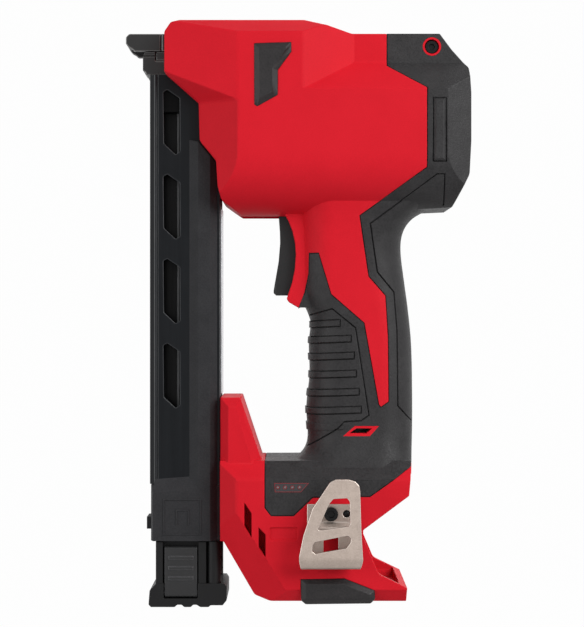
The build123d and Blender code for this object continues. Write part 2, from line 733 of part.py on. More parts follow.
def bevel_points(teeth, own_radius, mate_radius, phase):
    """Outline of a bevel gear in the plane across its axis at the large end."""
    cone = hypot(own_radius, mate_radius)
    lean = atan2(own_radius, mate_radius)
    virtual = teeth / cos(lean)
    virtual_radius = BEVEL_MODULE * virtual / 2
    steps = []
    for rise in (-DEDENDUM, -DEDENDUM / 2, 0.0, ADDENDUM / 2, ADDENDUM):
        height = rise * BEVEL_MODULE
        flank_radius = virtual_radius + height
        width = half_angle(flank_radius, virtual_radius, virtual, BACKLASH) * flank_radius
        radius = mate_radius * tan(lean + atan2(height, cone))
        steps.append((radius, width / (own_radius + height * cos(lean))))
    points = []
    for tooth in range(teeth):
        centre = radians(phase) + 2 * pi * tooth / teeth
        points += [(r * cos(centre - half), r * sin(centre - half)) for r, half in steps]
        points += [(r * cos(centre + half), r * sin(centre + half)) for r, half in reversed(steps)]
    return points


def y_gear(teeth, module, phase, y_range, x, z):
    """Straight-cut gear on an axis along y."""
    outline = gear_points(teeth, module, phase)
    return side_prism([(x + px, z + pz) for px, pz in outline], *y_range)


def x_gear(points, x_range, y, z):
    """Toothed outline carried along x."""
    with BuildPart() as wheel:
        with BuildSketch(Plane.YZ.offset(x_range[0])):
            Polygon(*[(y + py, z + pz) for py, pz in points], align=None)
        extrude(amount=x_range[1] - x_range[0])
    return wheel.part


def coil(radius, wire, turns, x_range, y, z):
    """Helical spring along x, its wire ends inside the given length."""
    length = x_range[1] - x_range[0] - wire
    with BuildPart() as spring:
        with BuildLine() as path:
            Helix(
                pitch=length / turns, height=length, radius=radius,
                center=(x_range[0] + wire / 2, y, z), direction=(1, 0, 0),
            )
        with BuildSketch(Plane(origin=path.line @ 0, z_dir=path.line % 0)):
            Circle(wire / 2)
        sweep(is_frenet=True)
    return spring.part


# Seats that the housing leaves for what it holds
outer = shell_shape(0)
skin_floor = shell_shape(OVERMOULD)
cavity = shell_shape(WALL)
right_screws = [NECK_SCREW, BASE_SCREW]
front_plate_size = ((FRONT_PLATE_X, BUMPER_X), about(FRONT_PLATE_HALF), FRONT_PLATE_Z)
rear_plate_size = ((REAR_PLATE_X, REAR_PLATE_END_X), about(REAR_PLATE_HALF), REAR_PLATE_Z)
switch_size = ((SWITCH_X, SWITCH_X + SWITCH_LENGTH), about(SWITCH_HALF), (SWITCH_BOTTOM_Z, SWITCH_TOP_Z))
board_size = (BOARD_X, about(BOARD_THICK / 2), BOARD_Z)
block_size = (BLOCK_X, about(BLOCK_HALF), BLOCK_Z)
bulkhead_x = (BULKHEAD_X, BULKHEAD_X + CHEEK_THICK)
hook_place = (HOOK_SCREW_X, HOOK_SCREW_Z)
bore_floor_y = -BASE_HALF + INSERT_LENGTH
board_ends_z = [
    (BOARD_Z[0] - RIB_COVER, BOARD_Z[0] + 2 * RIB_COVER),
    (BOARD_Z[1] - 2 * RIB_COVER, BOARD_Z[1] + RIB_COVER),
]
rib_slabs = [
    block(
        (FRONT_PLATE_X - RIB_COVER, BUMPER_X + RIB_COVER), LEFT_SIDE,
        (FRONT_PLATE_Z[0] - RIB_THICK, BODY_TOP_Z),
    ),
    block(
        (REAR_PLATE_X - RIB_COVER, REAR_PLATE_END_X + RIB_COVER), LEFT_SIDE,
        (FRONT_PLATE_Z[0], BODY_TOP_Z),
    ),
    block(
        (bulkhead_x[0] - RIB_COVER, bulkhead_x[1] + RIB_COVER), LEFT_SIDE,
        (BODY_BOTTOM_Z, CARRIAGE_BOTTOM_Z),
    ),
    block(
        (MOTOR_X + MOTOR_LENGTH / 2 - RIB_THICK, MOTOR_X + MOTOR_LENGTH / 2), LEFT_SIDE,
        (BODY_BOTTOM_Z, CARRIAGE_BOTTOM_Z),
    ),
    block(
        (SWITCH_X + RIB_THICK, SWITCH_X + 2 * RIB_THICK), LEFT_SIDE,
        (SWITCH_BOTTOM_Z - RIB_THICK, SWITCH_TOP_Z + RIB_THICK),
    ),
    block((BLOCK_X[0], REAR_X), LEFT_SIDE, (BAY_TOP_Z, BAY_ROOF_Z)),
    block(
        (BLOCK_X[0] + RIB_COVER, BLOCK_X[0] + RIB_COVER + RIB_THICK), LEFT_SIDE,
        (BASE_BOTTOM_Z, BAY_ROOF_Z),
    ),
    block((BLOCK_X[0], NOTCH_X), (-BAY_HALF - BAY_WALL, -BAY_HALF), (BASE_BOTTOM_Z, BAY_ROOF_Z)),
    block((NOSE_RIB_X, NOSE_RIB_X + RIB_THICK), LEFT_SIDE, (FRONT_PLATE_Z[0], NOSE_TOP_Z)),
    block((BODY_FRONT_X, PANEL_FRONT_X), LEFT_SIDE, (MAG_RIB_Z, MAG_RIB_Z + RIB_THICK)),
    y_bar(INSERT_RADIUS + INSERT_BOSS, (-BASE_HALF, -BAY_HALF), *hook_place),
]
rib_slabs += [
    block((x - RIB_COVER, x + RIB_COVER), LEFT_SIDE, ends_z) for x in BOARD_X for ends_z in board_ends_z
]
rib_slabs += [y_bar(BOSS_RADIUS, LEFT_SIDE, *place) for place in right_screws + [TAIL_SCREW]]
notch = side_prism(NOTCH_OUTLINE, OUTSIDE_Y, 0)
pockets = [
    block(
        (BUMPER_X - POCKET_PLAY, REAR_PLATE_END_X), about(CARRIAGE_HALF + SLIDE_GAP),
        (RACK_Z - RACK_MODULE - SLIDE_GAP, CARRIAGE_TOP_Z + 2 * SLIDE_GAP),
    ),
    block(
        (NOSE_FRONT_X, FRONT_PLATE_X + POCKET_PLAY), about(NOSE_HALF + SEAT_GAP),
        (FRONT_PLATE_Z[0] - RIB_THICK, NOSE_TOP_Z + POCKET_PLAY),
    ),
    block(
        (HOOD_FRONT_X, FRONT_PLATE_X + POCKET_PLAY), about(NOSE_HALF + SLIDE_GAP),
        (NOSE_TOP_Z, HOOD_TOP_Z + SLIDE_GAP),
    ),
    block(
        (HOOD_FRONT_X, MAG_REAR_X + SEAT_GAP), about(MAG_HALF + SEAT_GAP),
        (COVER_BOTTOM_Z, MAG_TOP_Z + SEAT_GAP),
    ),
    block(
        (TRIGGER_ROOM_X, SWITCH_X + POCKET_PLAY), about(TRIGGER_HALF + SLIDE_GAP),
        (TRIGGER_Z[0] - SLIDE_GAP, TRIGGER_Z[1] + SLIDE_GAP),
    ),
    joined(
        x_bar(
            CASE_RADIUS + CASE_FLANGE + SEAT_GAP, (bulkhead_x[0] - SEAT_GAP, bulkhead_x[1] + SEAT_GAP), 0,
            MOTOR_Z,
        ),
        x_bar(CASE_RADIUS + SEAT_GAP, (bulkhead_x[0] - RIB_COVER - POCKET_PLAY, CASE_END_X), 0, MOTOR_Z),
    ),
    x_bar(
        MOTOR_RADIUS + SEAT_GAP, (MOTOR_X - POCKET_PLAY, MOTOR_X + MOTOR_LENGTH + 2 * POCKET_PLAY), 0, MOTOR_Z
    ),
    block(WIRE_HOLE_X, about(WIRE_HOLE_HALF), (BAY_TOP_Z - POCKET_PLAY, BAY_ROOF_Z + POCKET_PLAY)),
    notch,
    side_prism(SLOT_HOLE, OUTSIDE_Y, SLOT_FLOOR_Y),
    side_prism(PLATE_RECESS, OUTSIDE_Y, -BASE_HALF + PLATE_DEEP),
    side_prism(BODY_PAD, OUTSIDE_Y, -BODY_HALF + PAD_SEAT),
    side_prism(FOOT_PAD, OUTSIDE_Y, -BASE_HALF + PAD_SEAT),
    y_bar(INSERT_RADIUS, (OUTSIDE_Y, bore_floor_y), *hook_place),
]
pockets += [
    block(*grown(size, SEAT_GAP))
    for size in (front_plate_size, rear_plate_size, switch_size, board_size, block_size)
]
pockets += [side_prism(vent, OUTSIDE_Y, -BAY_HALF - BAY_WALL) for vent in VENT_OUTLINES]

# Housing halves and their overmoulds
black_area = side_prism(OVERMOULD_OUTLINE, OUTSIDE_Y, 0)
slot_rim = side_prism(SLOT_RIM, OUTSIDE_Y, 0)
screw_rim = y_bar(BOSS_RADIUS, LEFT_SIDE, *TAIL_SCREW)
skin = cut(common(cut(outer, skin_floor), black_area), slot_rim, screw_rim, notch)
half_shell = cut(joined(cut(outer, cavity), common(cavity, joined(*rib_slabs))), skin, *pockets)
gauge_seat = side_prism(GAUGE_OUTLINE, OUTSIDE_Y, -BASE_HALF + GAUGE_THICK)
pilot_y = SCREW_TIP_Y + SCREW_RUNOUT
pilot_holes = [y_bar(SCREW_SHANK, (-pilot_y, SCREW_RUNOUT), *place) for place in right_screws]
head_room = SCREW_HEAD + SLIDE_GAP
tail_head_y = -REAR_BOX_HALF + TAIL_HEAD_IN
tail_left = joined(
    y_bar(SCREW_SHANK + SEAT_GAP, (OUTSIDE_Y, SCREW_RUNOUT), *TAIL_SCREW),
    y_bar(head_room, (OUTSIDE_Y, tail_head_y + SCREW_HEAD_DEEP), *TAIL_SCREW),
)
tail_right = y_bar(SCREW_SHANK, (-SCREW_RUNOUT, pilot_y), *TAIL_SCREW)
clear_holes = [
    joined(
        y_bar(SCREW_SHANK + SEAT_GAP, (-SCREW_RUNOUT, SCREW_SEAT_Y + SCREW_RUNOUT), *place),
        y_bar(head_room, (SCREW_SEAT_Y, -OUTSIDE_Y), *place),
    )
    for place in right_screws
]
grip_bars = [
    side_prism(
        [
            (GRIP_RIB_FRONT_X, z - GRIP_RIB_HALF - GRIP_RIB_DROP), (x, z - GRIP_RIB_HALF),
            (x, z + GRIP_RIB_HALF), (GRIP_RIB_FRONT_X, z + GRIP_RIB_HALF - GRIP_RIB_DROP),
        ],
        *LEFT_SIDE,
    )
    for x, z in GRIP_RIBS
]
grip_ribs = common(cut(handle_shape(-GRIP_RIB_PROUD), outer), joined(*grip_bars))
rear_rib = raised_pad(REAR_RIB, -BODY_HALF, OVERMOULD, REAR_RIB_PROUD, REAR_RIB_EDGE)
skin = joined(skin, grip_ribs, rear_rib)
save("housing_left", cut(half_shell, gauge_seat, tail_left, *pilot_holes))
save("housing_right", cut(across(half_shell), tail_right, *clear_holes))
save("overmould_left", cut(skin, gauge_seat))
save("overmould_right", across(skin))

# Rubber pads, gauge, battery contacts and control parts
body_pad = raised_pad(BODY_PAD, -BODY_HALF, PAD_SEAT, PAD_PROUD, PAD_EDGE)
foot_pad = raised_pad(FOOT_PAD, -BASE_HALF, PAD_SEAT, PAD_PROUD, PAD_EDGE)
save("body_pad_left", body_pad)
save("body_pad_right", across(body_pad))
save("foot_pad_left", foot_pad)
save("foot_pad_right", across(foot_pad))

lamp_x = [LAMP_START[0] + LAMP_PITCH * number for number in range(LAMP_COUNT)]
lamps = [y_bar(LAMP_RADIUS, (OUTSIDE_Y, -BASE_HALF + LAMP_DEEP), x, LAMP_START[1]) for x in lamp_x]
save("gauge_window", cut(side_prism(GAUGE_OUTLINE, -BASE_HALF, -BASE_HALF + GAUGE_THICK), *lamps))

terminal_z = (sum(BLOCK_Z) / 2 - TERMINAL_HALF_Z, sum(BLOCK_Z) / 2 + TERMINAL_HALF_Z)
terminals = [
    block(
        (BLOCK_X[0] + TERMINAL_ROOT, BLOCK_X[1] + TERMINAL_LENGTH),
        (y - TERMINAL_THICK / 2, y + TERMINAL_THICK / 2), terminal_z,
    )
    for y in about(TERMINAL_Y)
]
save("terminal_block", cut(block(*block_size), *terminals))
save("terminal_positive", terminals[0])
save("terminal_negative", terminals[1])
save("control_board", block(*board_size))

plunger_z = (SWITCH_BOTTOM_Z + SWITCH_TOP_Z) / 2
plunger_tip = SWITCH_X + PLUNGER_SEAT
with BuildPart() as trigger:
    add(side_prism(TRIGGER_OUTLINE, *about(TRIGGER_HALF)))
    fillet(trigger.part.faces().sort_by(Axis.X)[0].edges() | Axis.Z, TRIGGER_EDGE)
plunger = x_bar(PLUNGER_RADIUS, (TRIGGER_REAR_X - PLUNGER_SEAT, plunger_tip), 0, plunger_z)
save("trigger", joined(trigger.part, plunger))
plunger_room_x = (SWITCH_X - PLUNGER_SEAT, plunger_tip + TRIGGER_TRAVEL + PLUNGER_SEAT)
plunger_room = x_bar(PLUNGER_RADIUS + SLIDE_GAP, plunger_room_x, 0, plunger_z)
save("trigger_switch", cut(block(*switch_size), plunger_room))

# Belt hook, its threaded inserts and the case screws
hook_y = -BASE_HALF - HOOK_SHEET / 2
hook_mid_y = hook_y - HOOK_JOGGLE
hook_far_y = hook_mid_y - HOOK_GAP - HOOK_SHEET
split_y = (hook_mid_y + hook_far_y) / 2
bend = (hook_mid_y - hook_far_y) / 2
bend_z = HOOK_BEND_Z + HOOK_SHEET / 2 + bend
with BuildPart() as hook_strip:
    with BuildSketch(Plane.YZ.offset(HOOK_STRIP_X[0])):
        with BuildLine():
            Polyline(
                (hook_y, HOOK_ROOT_Z), (hook_y, HOOK_JOGGLE_Z[1]), (hook_mid_y, HOOK_JOGGLE_Z[0]),
                (hook_mid_y, bend_z),
            )
            ThreePointArc((hook_mid_y, bend_z), (split_y, bend_z - bend), (hook_far_y, bend_z))
            Line((hook_far_y, bend_z), (hook_far_y, HOOK_TIP_Z))
        trace(line_width=HOOK_SHEET)
    extrude(amount=HOOK_STRIP_X[1] - HOOK_STRIP_X[0])
front_leg = cut(
    side_prism(HOOK_FRONT, OUTSIDE_Y, split_y),
    *[side_prism(window, OUTSIDE_Y, split_y) for window in HOOK_WINDOWS],
)
back_leg = cut(
    block(HOOK_BACK_X, (split_y, 0.0), (0.0, HOOK_TIP_Z)), block(HOOK_SLOT_X, (split_y, 0.0), HOOK_SLOT_Z)
)
screw_hole = y_bar(INSERT_HOLE + SEAT_GAP, (split_y, 0.0), *hook_place)
peg_hole = y_bar(PEG_HOLE, (split_y, 0.0), HOOK_SCREW_X + PEG_PITCH, HOOK_SCREW_Z)
save("belt_hook", cut(common(hook_strip.part, joined(front_leg, back_leg)), screw_hole, peg_hole))
seat_y = -BASE_HALF - HOOK_SHEET
head_y = seat_y - HOOK_HEAD_DEEP
save("belt_hook_screw", cut(
    joined(
        y_bar(INSERT_HOLE, (seat_y, bore_floor_y - SCREW_RUNOUT), *hook_place),
        y_bar(HOOK_HEAD, (head_y, seat_y), *hook_place),
    ),
    hex_socket(HOOK_KEY, head_y, HOOK_KEY_DEEP, hook_place),
))
insert = cut(
    y_bar(INSERT_RADIUS, (-BASE_HALF, bore_floor_y), *hook_place), y_bar(INSERT_HOLE, LEFT_SIDE, *hook_place)
)
save("hook_insert_left", insert)
save("hook_insert_right", across(insert))
save("case_screw_rear", case_screw(tail_head_y, SCREW_TIP_Y, TAIL_SCREW))
save("case_screw_neck", case_screw(SCREW_SEAT_Y + SCREW_HEAD_DEEP, -SCREW_TIP_Y, NECK_SCREW))
save("case_screw_base", case_screw(SCREW_SEAT_Y + SCREW_HEAD_DEEP, -SCREW_TIP_Y, BASE_SCREW))

# Nose
blade_z = (DRIVE_Z - BLADE_THICK / 2, DRIVE_Z + BLADE_THICK / 2)
blade_room_z = (blade_z[0] - BLADE_GAP, blade_z[1] + BLADE_GAP)
channel = block((NOSE_FRONT_X - WALL, CARRIAGE_X), about(BLADE_HALF + BLADE_GAP), blade_room_z)
entry = block(CHANNEL_X, about(BLADE_HALF + BLADE_GAP), (MAG_TOP_Z - POCKET_PLAY, DRIVE_Z))
nose_outline = [
    (NOSE_FRONT_X, NOSE_TOP_Z - 2.0), (NOSE_FRONT_X, MAG_TOP_Z + 1.6), (NOSE_FRONT_X + 1.0, MAG_TOP_Z + 1.2),
    (NOSE_FRONT_X + 1.2, MAG_TOP_Z), (NOSE_REAR_X, MAG_TOP_Z), (NOSE_REAR_X, NOSE_TOP_Z),
    (NOSE_FRONT_X + 0.8, NOSE_TOP_Z),
]
save("nose_frame", cut(side_prism(nose_outline, *about(NOSE_HALF)), channel, entry))
hood_floor_z = HOOD_TOP_Z - HOOD_THICK
skirt_z = NOSE_TOP_Z + SLIDE_GAP
hood_outline = [
    (HOOD_FRONT_X + 1.3, HOOD_TOP_Z), (HOOD_REAR_X, HOOD_TOP_Z), (HOOD_REAR_X, skirt_z),
    (HOOD_FRONT_X + 3.3, skirt_z), (HOOD_FRONT_X + 2.6, skirt_z + 0.8), (HOOD_FRONT_X + 1.1, skirt_z + 1.6),
    (HOOD_FRONT_X, skirt_z + 3.0), (HOOD_FRONT_X, HOOD_TOP_Z - 1.3),
]
hood_room = block(
    (HOOD_FRONT_X - WALL, HOOD_REAR_X + WALL), about(NOSE_HALF - HOOD_SIDE), (NOSE_TOP_Z, hood_floor_z)
)
save("work_contact", cut(side_prism(hood_outline, *about(NOSE_HALF)), hood_room))
save("contact_spring", coil(
    CONTACT_SPRING_RADIUS, CONTACT_SPRING_WIRE, CONTACT_SPRING_TURNS, (HOOD_REAR_X, FRONT_PLATE_X), 0,
    (HOOD_TOP_Z + hood_floor_z) / 2,
))

# Driver
rod_places = {"left": -ROD_Y, "right": ROD_Y}
rods = {
    side: x_bar(ROD_RADIUS, (FRONT_PLATE_X, REAR_PLATE_END_X), y, DRIVE_Z) for side, y in rod_places.items()
}
rod_room = [x_bar(ROD_RADIUS + RUN_GAP, (0.0, REAR_X), y, DRIVE_Z) for y in rod_places.values()]
save("front_plate", cut(block(*front_plate_size), channel, *rods.values()))
save("rear_plate", cut(block(*rear_plate_size), *rods.values()))
bumper = block((BUMPER_X, BUMPER_X + BUMPER_THICK), about(BUMPER_HALF), BUMPER_Z)
save("bumper", cut(bumper, channel, *rod_room))
blade = block((NOSE_FRONT_X + BLADE_SETBACK, CARRIAGE_X + BLADE_SEAT), about(BLADE_HALF), blade_z)
save("driver_blade", blade)
spring_x = (CARRIAGE_X + CARRIAGE_LENGTH - SPRING_POCKET, REAR_PLATE_X)
spring_room = [
    x_bar(SPRING_RADIUS + SPRING_WIRE / 2 + SLIDE_GAP, spring_x, y, DRIVE_Z) for y in rod_places.values()
]
rack_back_z = CARRIAGE_BOTTOM_Z + RACK_SEAT
rack_x = (RACK_FRONT_X, LIFTER_X + RACK_TAIL)
rack_seat = block((RACK_FRONT_X, REAR_X), about(RACK_HALF), (RACK_Z, rack_back_z))
carriage = block(
    (CARRIAGE_X, CARRIAGE_X + CARRIAGE_LENGTH), about(CARRIAGE_HALF), (CARRIAGE_BOTTOM_Z, CARRIAGE_TOP_Z)
)
save("carriage", cut(carriage, blade, rack_seat, *rod_room, *spring_room))
for side, y in rod_places.items():
    save(f"guide_rod_{side}", rods[side])
    save(f"drive_spring_{side}", coil(SPRING_RADIUS, SPRING_WIRE, SPRING_TURNS, spring_x, y, DRIVE_Z))

rack_pitch = pi * RACK_MODULE
rack_tip_z = RACK_Z - ADDENDUM * RACK_MODULE
rack_root_z = RACK_Z + DEDENDUM * RACK_MODULE
slope = tan(radians(GEAR_ANGLE))
tooth_half = rack_pitch / 4 - BACKLASH / 4
tip_half = tooth_half - (RACK_Z - rack_tip_z) * slope
root_half = tooth_half + (rack_root_z - RACK_Z) * slope
rack_outline = [(rack_x[1], rack_root_z), (rack_x[1], rack_back_z), (rack_x[0], rack_back_z)]
rack_outline.append((rack_x[0], rack_root_z))
rack_steps = int((rack_x[1] - rack_x[0]) / rack_pitch) + 1
for number in range(-rack_steps, rack_steps):
    middle = LIFTER_X + (number + 0.5) * rack_pitch
    if middle - root_half > rack_x[0] and middle + root_half < rack_x[1]:
        rack_outline += [
            (middle - root_half, rack_root_z), (middle - tip_half, rack_tip_z),
            (middle + tip_half, rack_tip_z), (middle + root_half, rack_root_z),
        ]
save("rack", side_prism(rack_outline, *about(RACK_HALF)))

# Right-angle gear train
pinion_y = about(RACK_HALF - SLIDE_GAP)
spur_y = (-CHEEK_Y + SPUR_SIDE_GAP, -CHEEK_Y + SPUR_SIDE_GAP + SPUR_WIDTH)
lifter_axis = (LIFTER_X, LIFTER_Z)
mid_axis = (MID_X, MOTOR_Z)
lifter_bar = y_bar(SHAFT_RADIUS, about(CHEEK_OUT), *lifter_axis)
mid_bar = y_bar(SHAFT_RADIUS, about(CHEEK_OUT), *mid_axis)
lifter_spur = y_gear(LIFTER_SPUR_TEETH, SPUR_MODULE, -SPUR_LEAN, spur_y, *lifter_axis)
save("lifter_shaft", joined(lifter_bar, y_gear(LIFTER_TEETH, RACK_MODULE, 90.0, pinion_y, *lifter_axis)))
save("lifter_gear", cut(lifter_spur, lifter_bar))
mid_phase = 180.0 - SPUR_LEAN + 180.0 / MID_SPUR_TEETH
save("mid_shaft", joined(mid_bar, y_gear(MID_SPUR_TEETH, SPUR_MODULE, mid_phase, spur_y, *mid_axis)))

gear_ring = bevel_points(BEVEL_GEAR_TEETH, BEVEL_GEAR_R, BEVEL_PINION_R, 0.0)
with BuildPart() as bevel_gear:
    for size in (1.0, BEVEL_SMALL_END):
        with BuildSketch(Plane.XZ.offset(-size * BEVEL_PINION_R)):
            Polygon(*[(MID_X + size * px, MOTOR_Z + size * pz) for px, pz in gear_ring], align=None)
    loft(ruled=True)
    add(y_bar(BEVEL_GEAR_R + BEVEL_RIM, (0.0, BEVEL_PINION_R), *mid_axis), mode=Mode.INTERSECT)
    add(y_bar(BEVEL_GEAR_R - BEVEL_HUB_STEP, (BEVEL_PINION_R, CHEEK_Y - BEVEL_HUB_GAP), *mid_axis))
save("bevel_gear", cut(bevel_gear.part, mid_bar))

pinion_ring = bevel_points(BEVEL_PINION_TEETH, BEVEL_PINION_R, BEVEL_GEAR_R, 180.0 / BEVEL_PINION_TEETH)
with BuildPart() as bevel_pinion:
    for size in (1.0, BEVEL_SMALL_END):
        with BuildSketch(Plane.YZ.offset(MID_X + size * BEVEL_GEAR_R)):
            Polygon(*[(size * py, MOTOR_Z + size * pz) for py, pz in pinion_ring], align=None)
    loft(ruled=True)
    add(x_bar(PINION_NECK, (0.0, REAR_X), 0, MOTOR_Z), mode=Mode.SUBTRACT)
save("bevel_pinion", bevel_pinion.part)

# Planet stage and drive frame
orbit_angles = [90.0 + 360.0 * number / PLANET_COUNT for number in range(PLANET_COUNT)]
planet_places = [
    (ORBIT_R * cos(radians(angle)), MOTOR_Z + ORBIT_R * sin(radians(angle))) for angle in orbit_angles
]
planet_x = (PLANET_X, PLANET_X + PLANET_WIDTH)
save("planet_carrier", joined(
    x_bar(ORBIT_R + CARRIER_RIM, (CARRIER_X, CARRIER_X + CARRIER_THICK), 0, MOTOR_Z),
    x_bar(OUTPUT_RADIUS, (BULKHEAD_X, CARRIER_X), 0, MOTOR_Z),
    x_bar(PINION_NECK, (MID_X + BEVEL_SMALL_END * BEVEL_GEAR_R, BULKHEAD_X), 0, MOTOR_Z),
    *[x_bar(PLANET_PIN, (CARRIER_X, planet_x[1]), *place) for place in planet_places],
))
for number, (angle, place) in enumerate(zip(orbit_angles, planet_places), start=1):
    planet_ring = gear_points(PLANET_TEETH, PLANET_MODULE, angle + 180.0 + 180.0 / PLANET_TEETH)
    planet = cut(x_gear(planet_ring, planet_x, *place), x_bar(PLANET_PIN + RUN_GAP, planet_x, *place))
    save(f"planet_gear_{number}", planet)
sun_ring = gear_points(SUN_TEETH, PLANET_MODULE, 90.0)
rotor_shaft = x_bar(ROTOR_SHAFT, (PLANET_X, MOTOR_X + MOTOR_LENGTH), 0, MOTOR_Z)
save("sun_gear", cut(x_gear(sun_ring, planet_x, 0, MOTOR_Z), rotor_shaft))
ring_r = CASE_RADIUS - CASE_WALL
ring_x = (PLANET_X - RING_LEAD, CASE_END_X)
ring_teeth = gear_points(
    RING_TEETH, PLANET_MODULE, 90.0 + 180.0 / RING_TEETH, ADDENDUM, DEDENDUM, -BACKLASH
)
save("ring_gear", cut(x_bar(ring_r, ring_x, 0, MOTOR_Z), x_gear(ring_teeth, ring_x, 0, MOTOR_Z)))
cheek_outline = [
    (LIFTER_X - CHEEK_MARGIN, LIFTER_Z - CHEEK_MARGIN), (LIFTER_X - CHEEK_MARGIN, LIFTER_Z + CHEEK_MARGIN),
    (LIFTER_X + CHEEK_MARGIN, LIFTER_Z + CHEEK_MARGIN), (bulkhead_x[0] + BULKHEAD_GAP, MOTOR_Z + CHEEK_ROOT),
    (bulkhead_x[0] + BULKHEAD_GAP, MOTOR_Z - CHEEK_ROOT), (MID_X - CHEEK_FOOT[0], MOTOR_Z - CHEEK_FOOT[1]),
]
drive_frame = joined(
    x_bar(CASE_RADIUS + CASE_FLANGE, bulkhead_x, 0, MOTOR_Z),
    x_bar(CASE_RADIUS, (BULKHEAD_X, CASE_END_X), 0, MOTOR_Z),
    side_prism(cheek_outline, -CHEEK_OUT, -CHEEK_Y),
    side_prism(cheek_outline, CHEEK_Y, CHEEK_OUT),
)
save("drive_frame", cut(
    drive_frame,
    x_bar(OUTPUT_RADIUS + RUN_GAP, (0.0, REAR_X), 0, MOTOR_Z),
    x_bar(ring_r, (bulkhead_x[1], REAR_X), 0, MOTOR_Z),
    y_bar(SHAFT_RADIUS + RUN_GAP, about(BODY_HALF), *lifter_axis),
    y_bar(SHAFT_RADIUS + RUN_GAP, about(BODY_HALF), *mid_axis),
))

# Motor
can_x = (MOTOR_X, MOTOR_X + MOTOR_LENGTH - MOTOR_END)
cap_x = (can_x[1], can_x[1] + MOTOR_END)
core_x = (can_x[0] + CORE_FRONT, can_x[1] - CORE_REAR)
shaft_room = x_bar(ROTOR_SHAFT + RUN_GAP, (0.0, REAR_X), 0, MOTOR_Z)
bore_r = MOTOR_RADIUS - MOTOR_WALL
can_bore = x_bar(bore_r, (can_x[0] + MOTOR_END, REAR_X), 0, MOTOR_Z)
save("motor_can", cut(x_bar(MOTOR_RADIUS, can_x, 0, MOTOR_Z), can_bore, shaft_room))
bearing = x_bar(ROTOR_SHAFT + MOTOR_BEARING, (cap_x[0] - POCKET_PLAY, cap_x[1] + POCKET_PLAY), 0, MOTOR_Z)
save("motor_end_cap", cut(joined(x_bar(MOTOR_RADIUS, cap_x, 0, MOTOR_Z), bearing), shaft_room))
save("motor_rotor", joined(rotor_shaft, x_bar(ROTOR_RADIUS, core_x, 0, MOTOR_Z)))
slot_r = (ROTOR_RADIUS + STATOR_TIP, bore_r - STATOR_YOKE)
with BuildPart() as stator:
    with BuildSketch(Plane(origin=(core_x[0], 0, MOTOR_Z), x_dir=(0, 1, 0), z_dir=(1, 0, 0))):
        Circle(bore_r)
        Circle(ROTOR_RADIUS + AIR_GAP, mode=Mode.SUBTRACT)
        with PolarLocations(sum(slot_r) / 2, STATOR_SLOTS):
            Rectangle(slot_r[1] - slot_r[0], STATOR_SLOT, mode=Mode.SUBTRACT)
    extrude(amount=core_x[1] - core_x[0])
save("motor_stator", stator.part)

# Magazine body and its cover
mag_z = (MAG_BOTTOM_Z, MAG_TOP_Z)
windows = [
    side_prism([(x, z - MAG_WINDOW_PITCH * number) for x, z in MAG_WINDOW], *about(MAG_HALF + WALL))
    for number in range(MAG_WINDOW_COUNT)
]
groove = block(MAG_GROOVE_X, (-MAG_HALF - WALL, -MAG_HALF + MAG_GROOVE_DEEP), mag_z)
save("magazine_body", cut(
    plan_prism(MAG_PLAN, mag_z), plan_prism(MAG_PLAN, mag_z, MAG_WALL), *windows, groove, across(groove)
))
strip_z = (STRIP_BOTTOM_Z, BODY_BOTTOM_Z + RIB_THICK)
save("magazine_strip", block((MAG_REAR_X, MAG_REAR_X + STRIP_THICK), about(STRIP_HALF), strip_z))

sleeve_x = (MAG_FRONT_X + SLEEVE_STEP, MAG_REAR_X)
sleeve_half = [
    (sleeve_x[0], -MAG_HALF), (sleeve_x[0] + SLEEVE_BEVEL, -COVER_HALF), *CHEEK_PLAN[2:4],
    (sleeve_x[1], -MAG_HALF),
]
sleeve_plan = sleeve_half + [(x, -y) for x, y in reversed(sleeve_half)]
sill = beyond([facet(
    (LEDGE_OUTLINE[4][0], -COVER_HALF, 45.0), (5.5, -COVER_HALF, LEDGE_OUTLINE[2][1]),
    (LEDGE_OUTLINE[4][0], -MAG_HALF, LEDGE_OUTLINE[4][1]),
)])
sleeve_z = (COVER_BOTTOM_Z, MAG_BOTTOM_Z)
bore = block(CHANNEL_X, about(CHANNEL_HALF), sleeve_z)
sleeve = cut(plan_prism(sleeve_plan, sleeve_z), bore, sill, across(sill))
ledge = cut(side_prism(LEDGE_OUTLINE, -COVER_HALF, -MAG_HALF), sill)
cheek = common(plan_prism(CHEEK_PLAN, (COVER_BOTTOM_Z, COVER_TOP_Z)), side_prism(COVER_CHEEK, *LEFT_SIDE))
proud_y = (-COVER_HALF - BADGE_PROUD, -COVER_HALF)
badge_inside = grown((BADGE_X, LEFT_SIDE, BADGE_Z), -BADGE_LINE)
badge = cut(block(BADGE_X, proud_y, BADGE_Z), block(*badge_inside))
icon = cut(
    block(ICON_X, proud_y, ICON_Z),
    block((ICON_X[0] + ICON_LINE, ICON_X[1] - ICON_LINE), LEFT_SIDE, (BADGE_Z[0], ICON_Z[1] - ICON_LINE)),
)
cover_side = [cheek, ledge, badge, icon]
tab = block((sleeve_x[0] - TAB_LENGTH, sleeve_x[0]), about(TAB_HALF), TAB_Z)
save("magazine_cover", joined(sleeve, tab, *cover_side, *[across(piece) for piece in cover_side]))

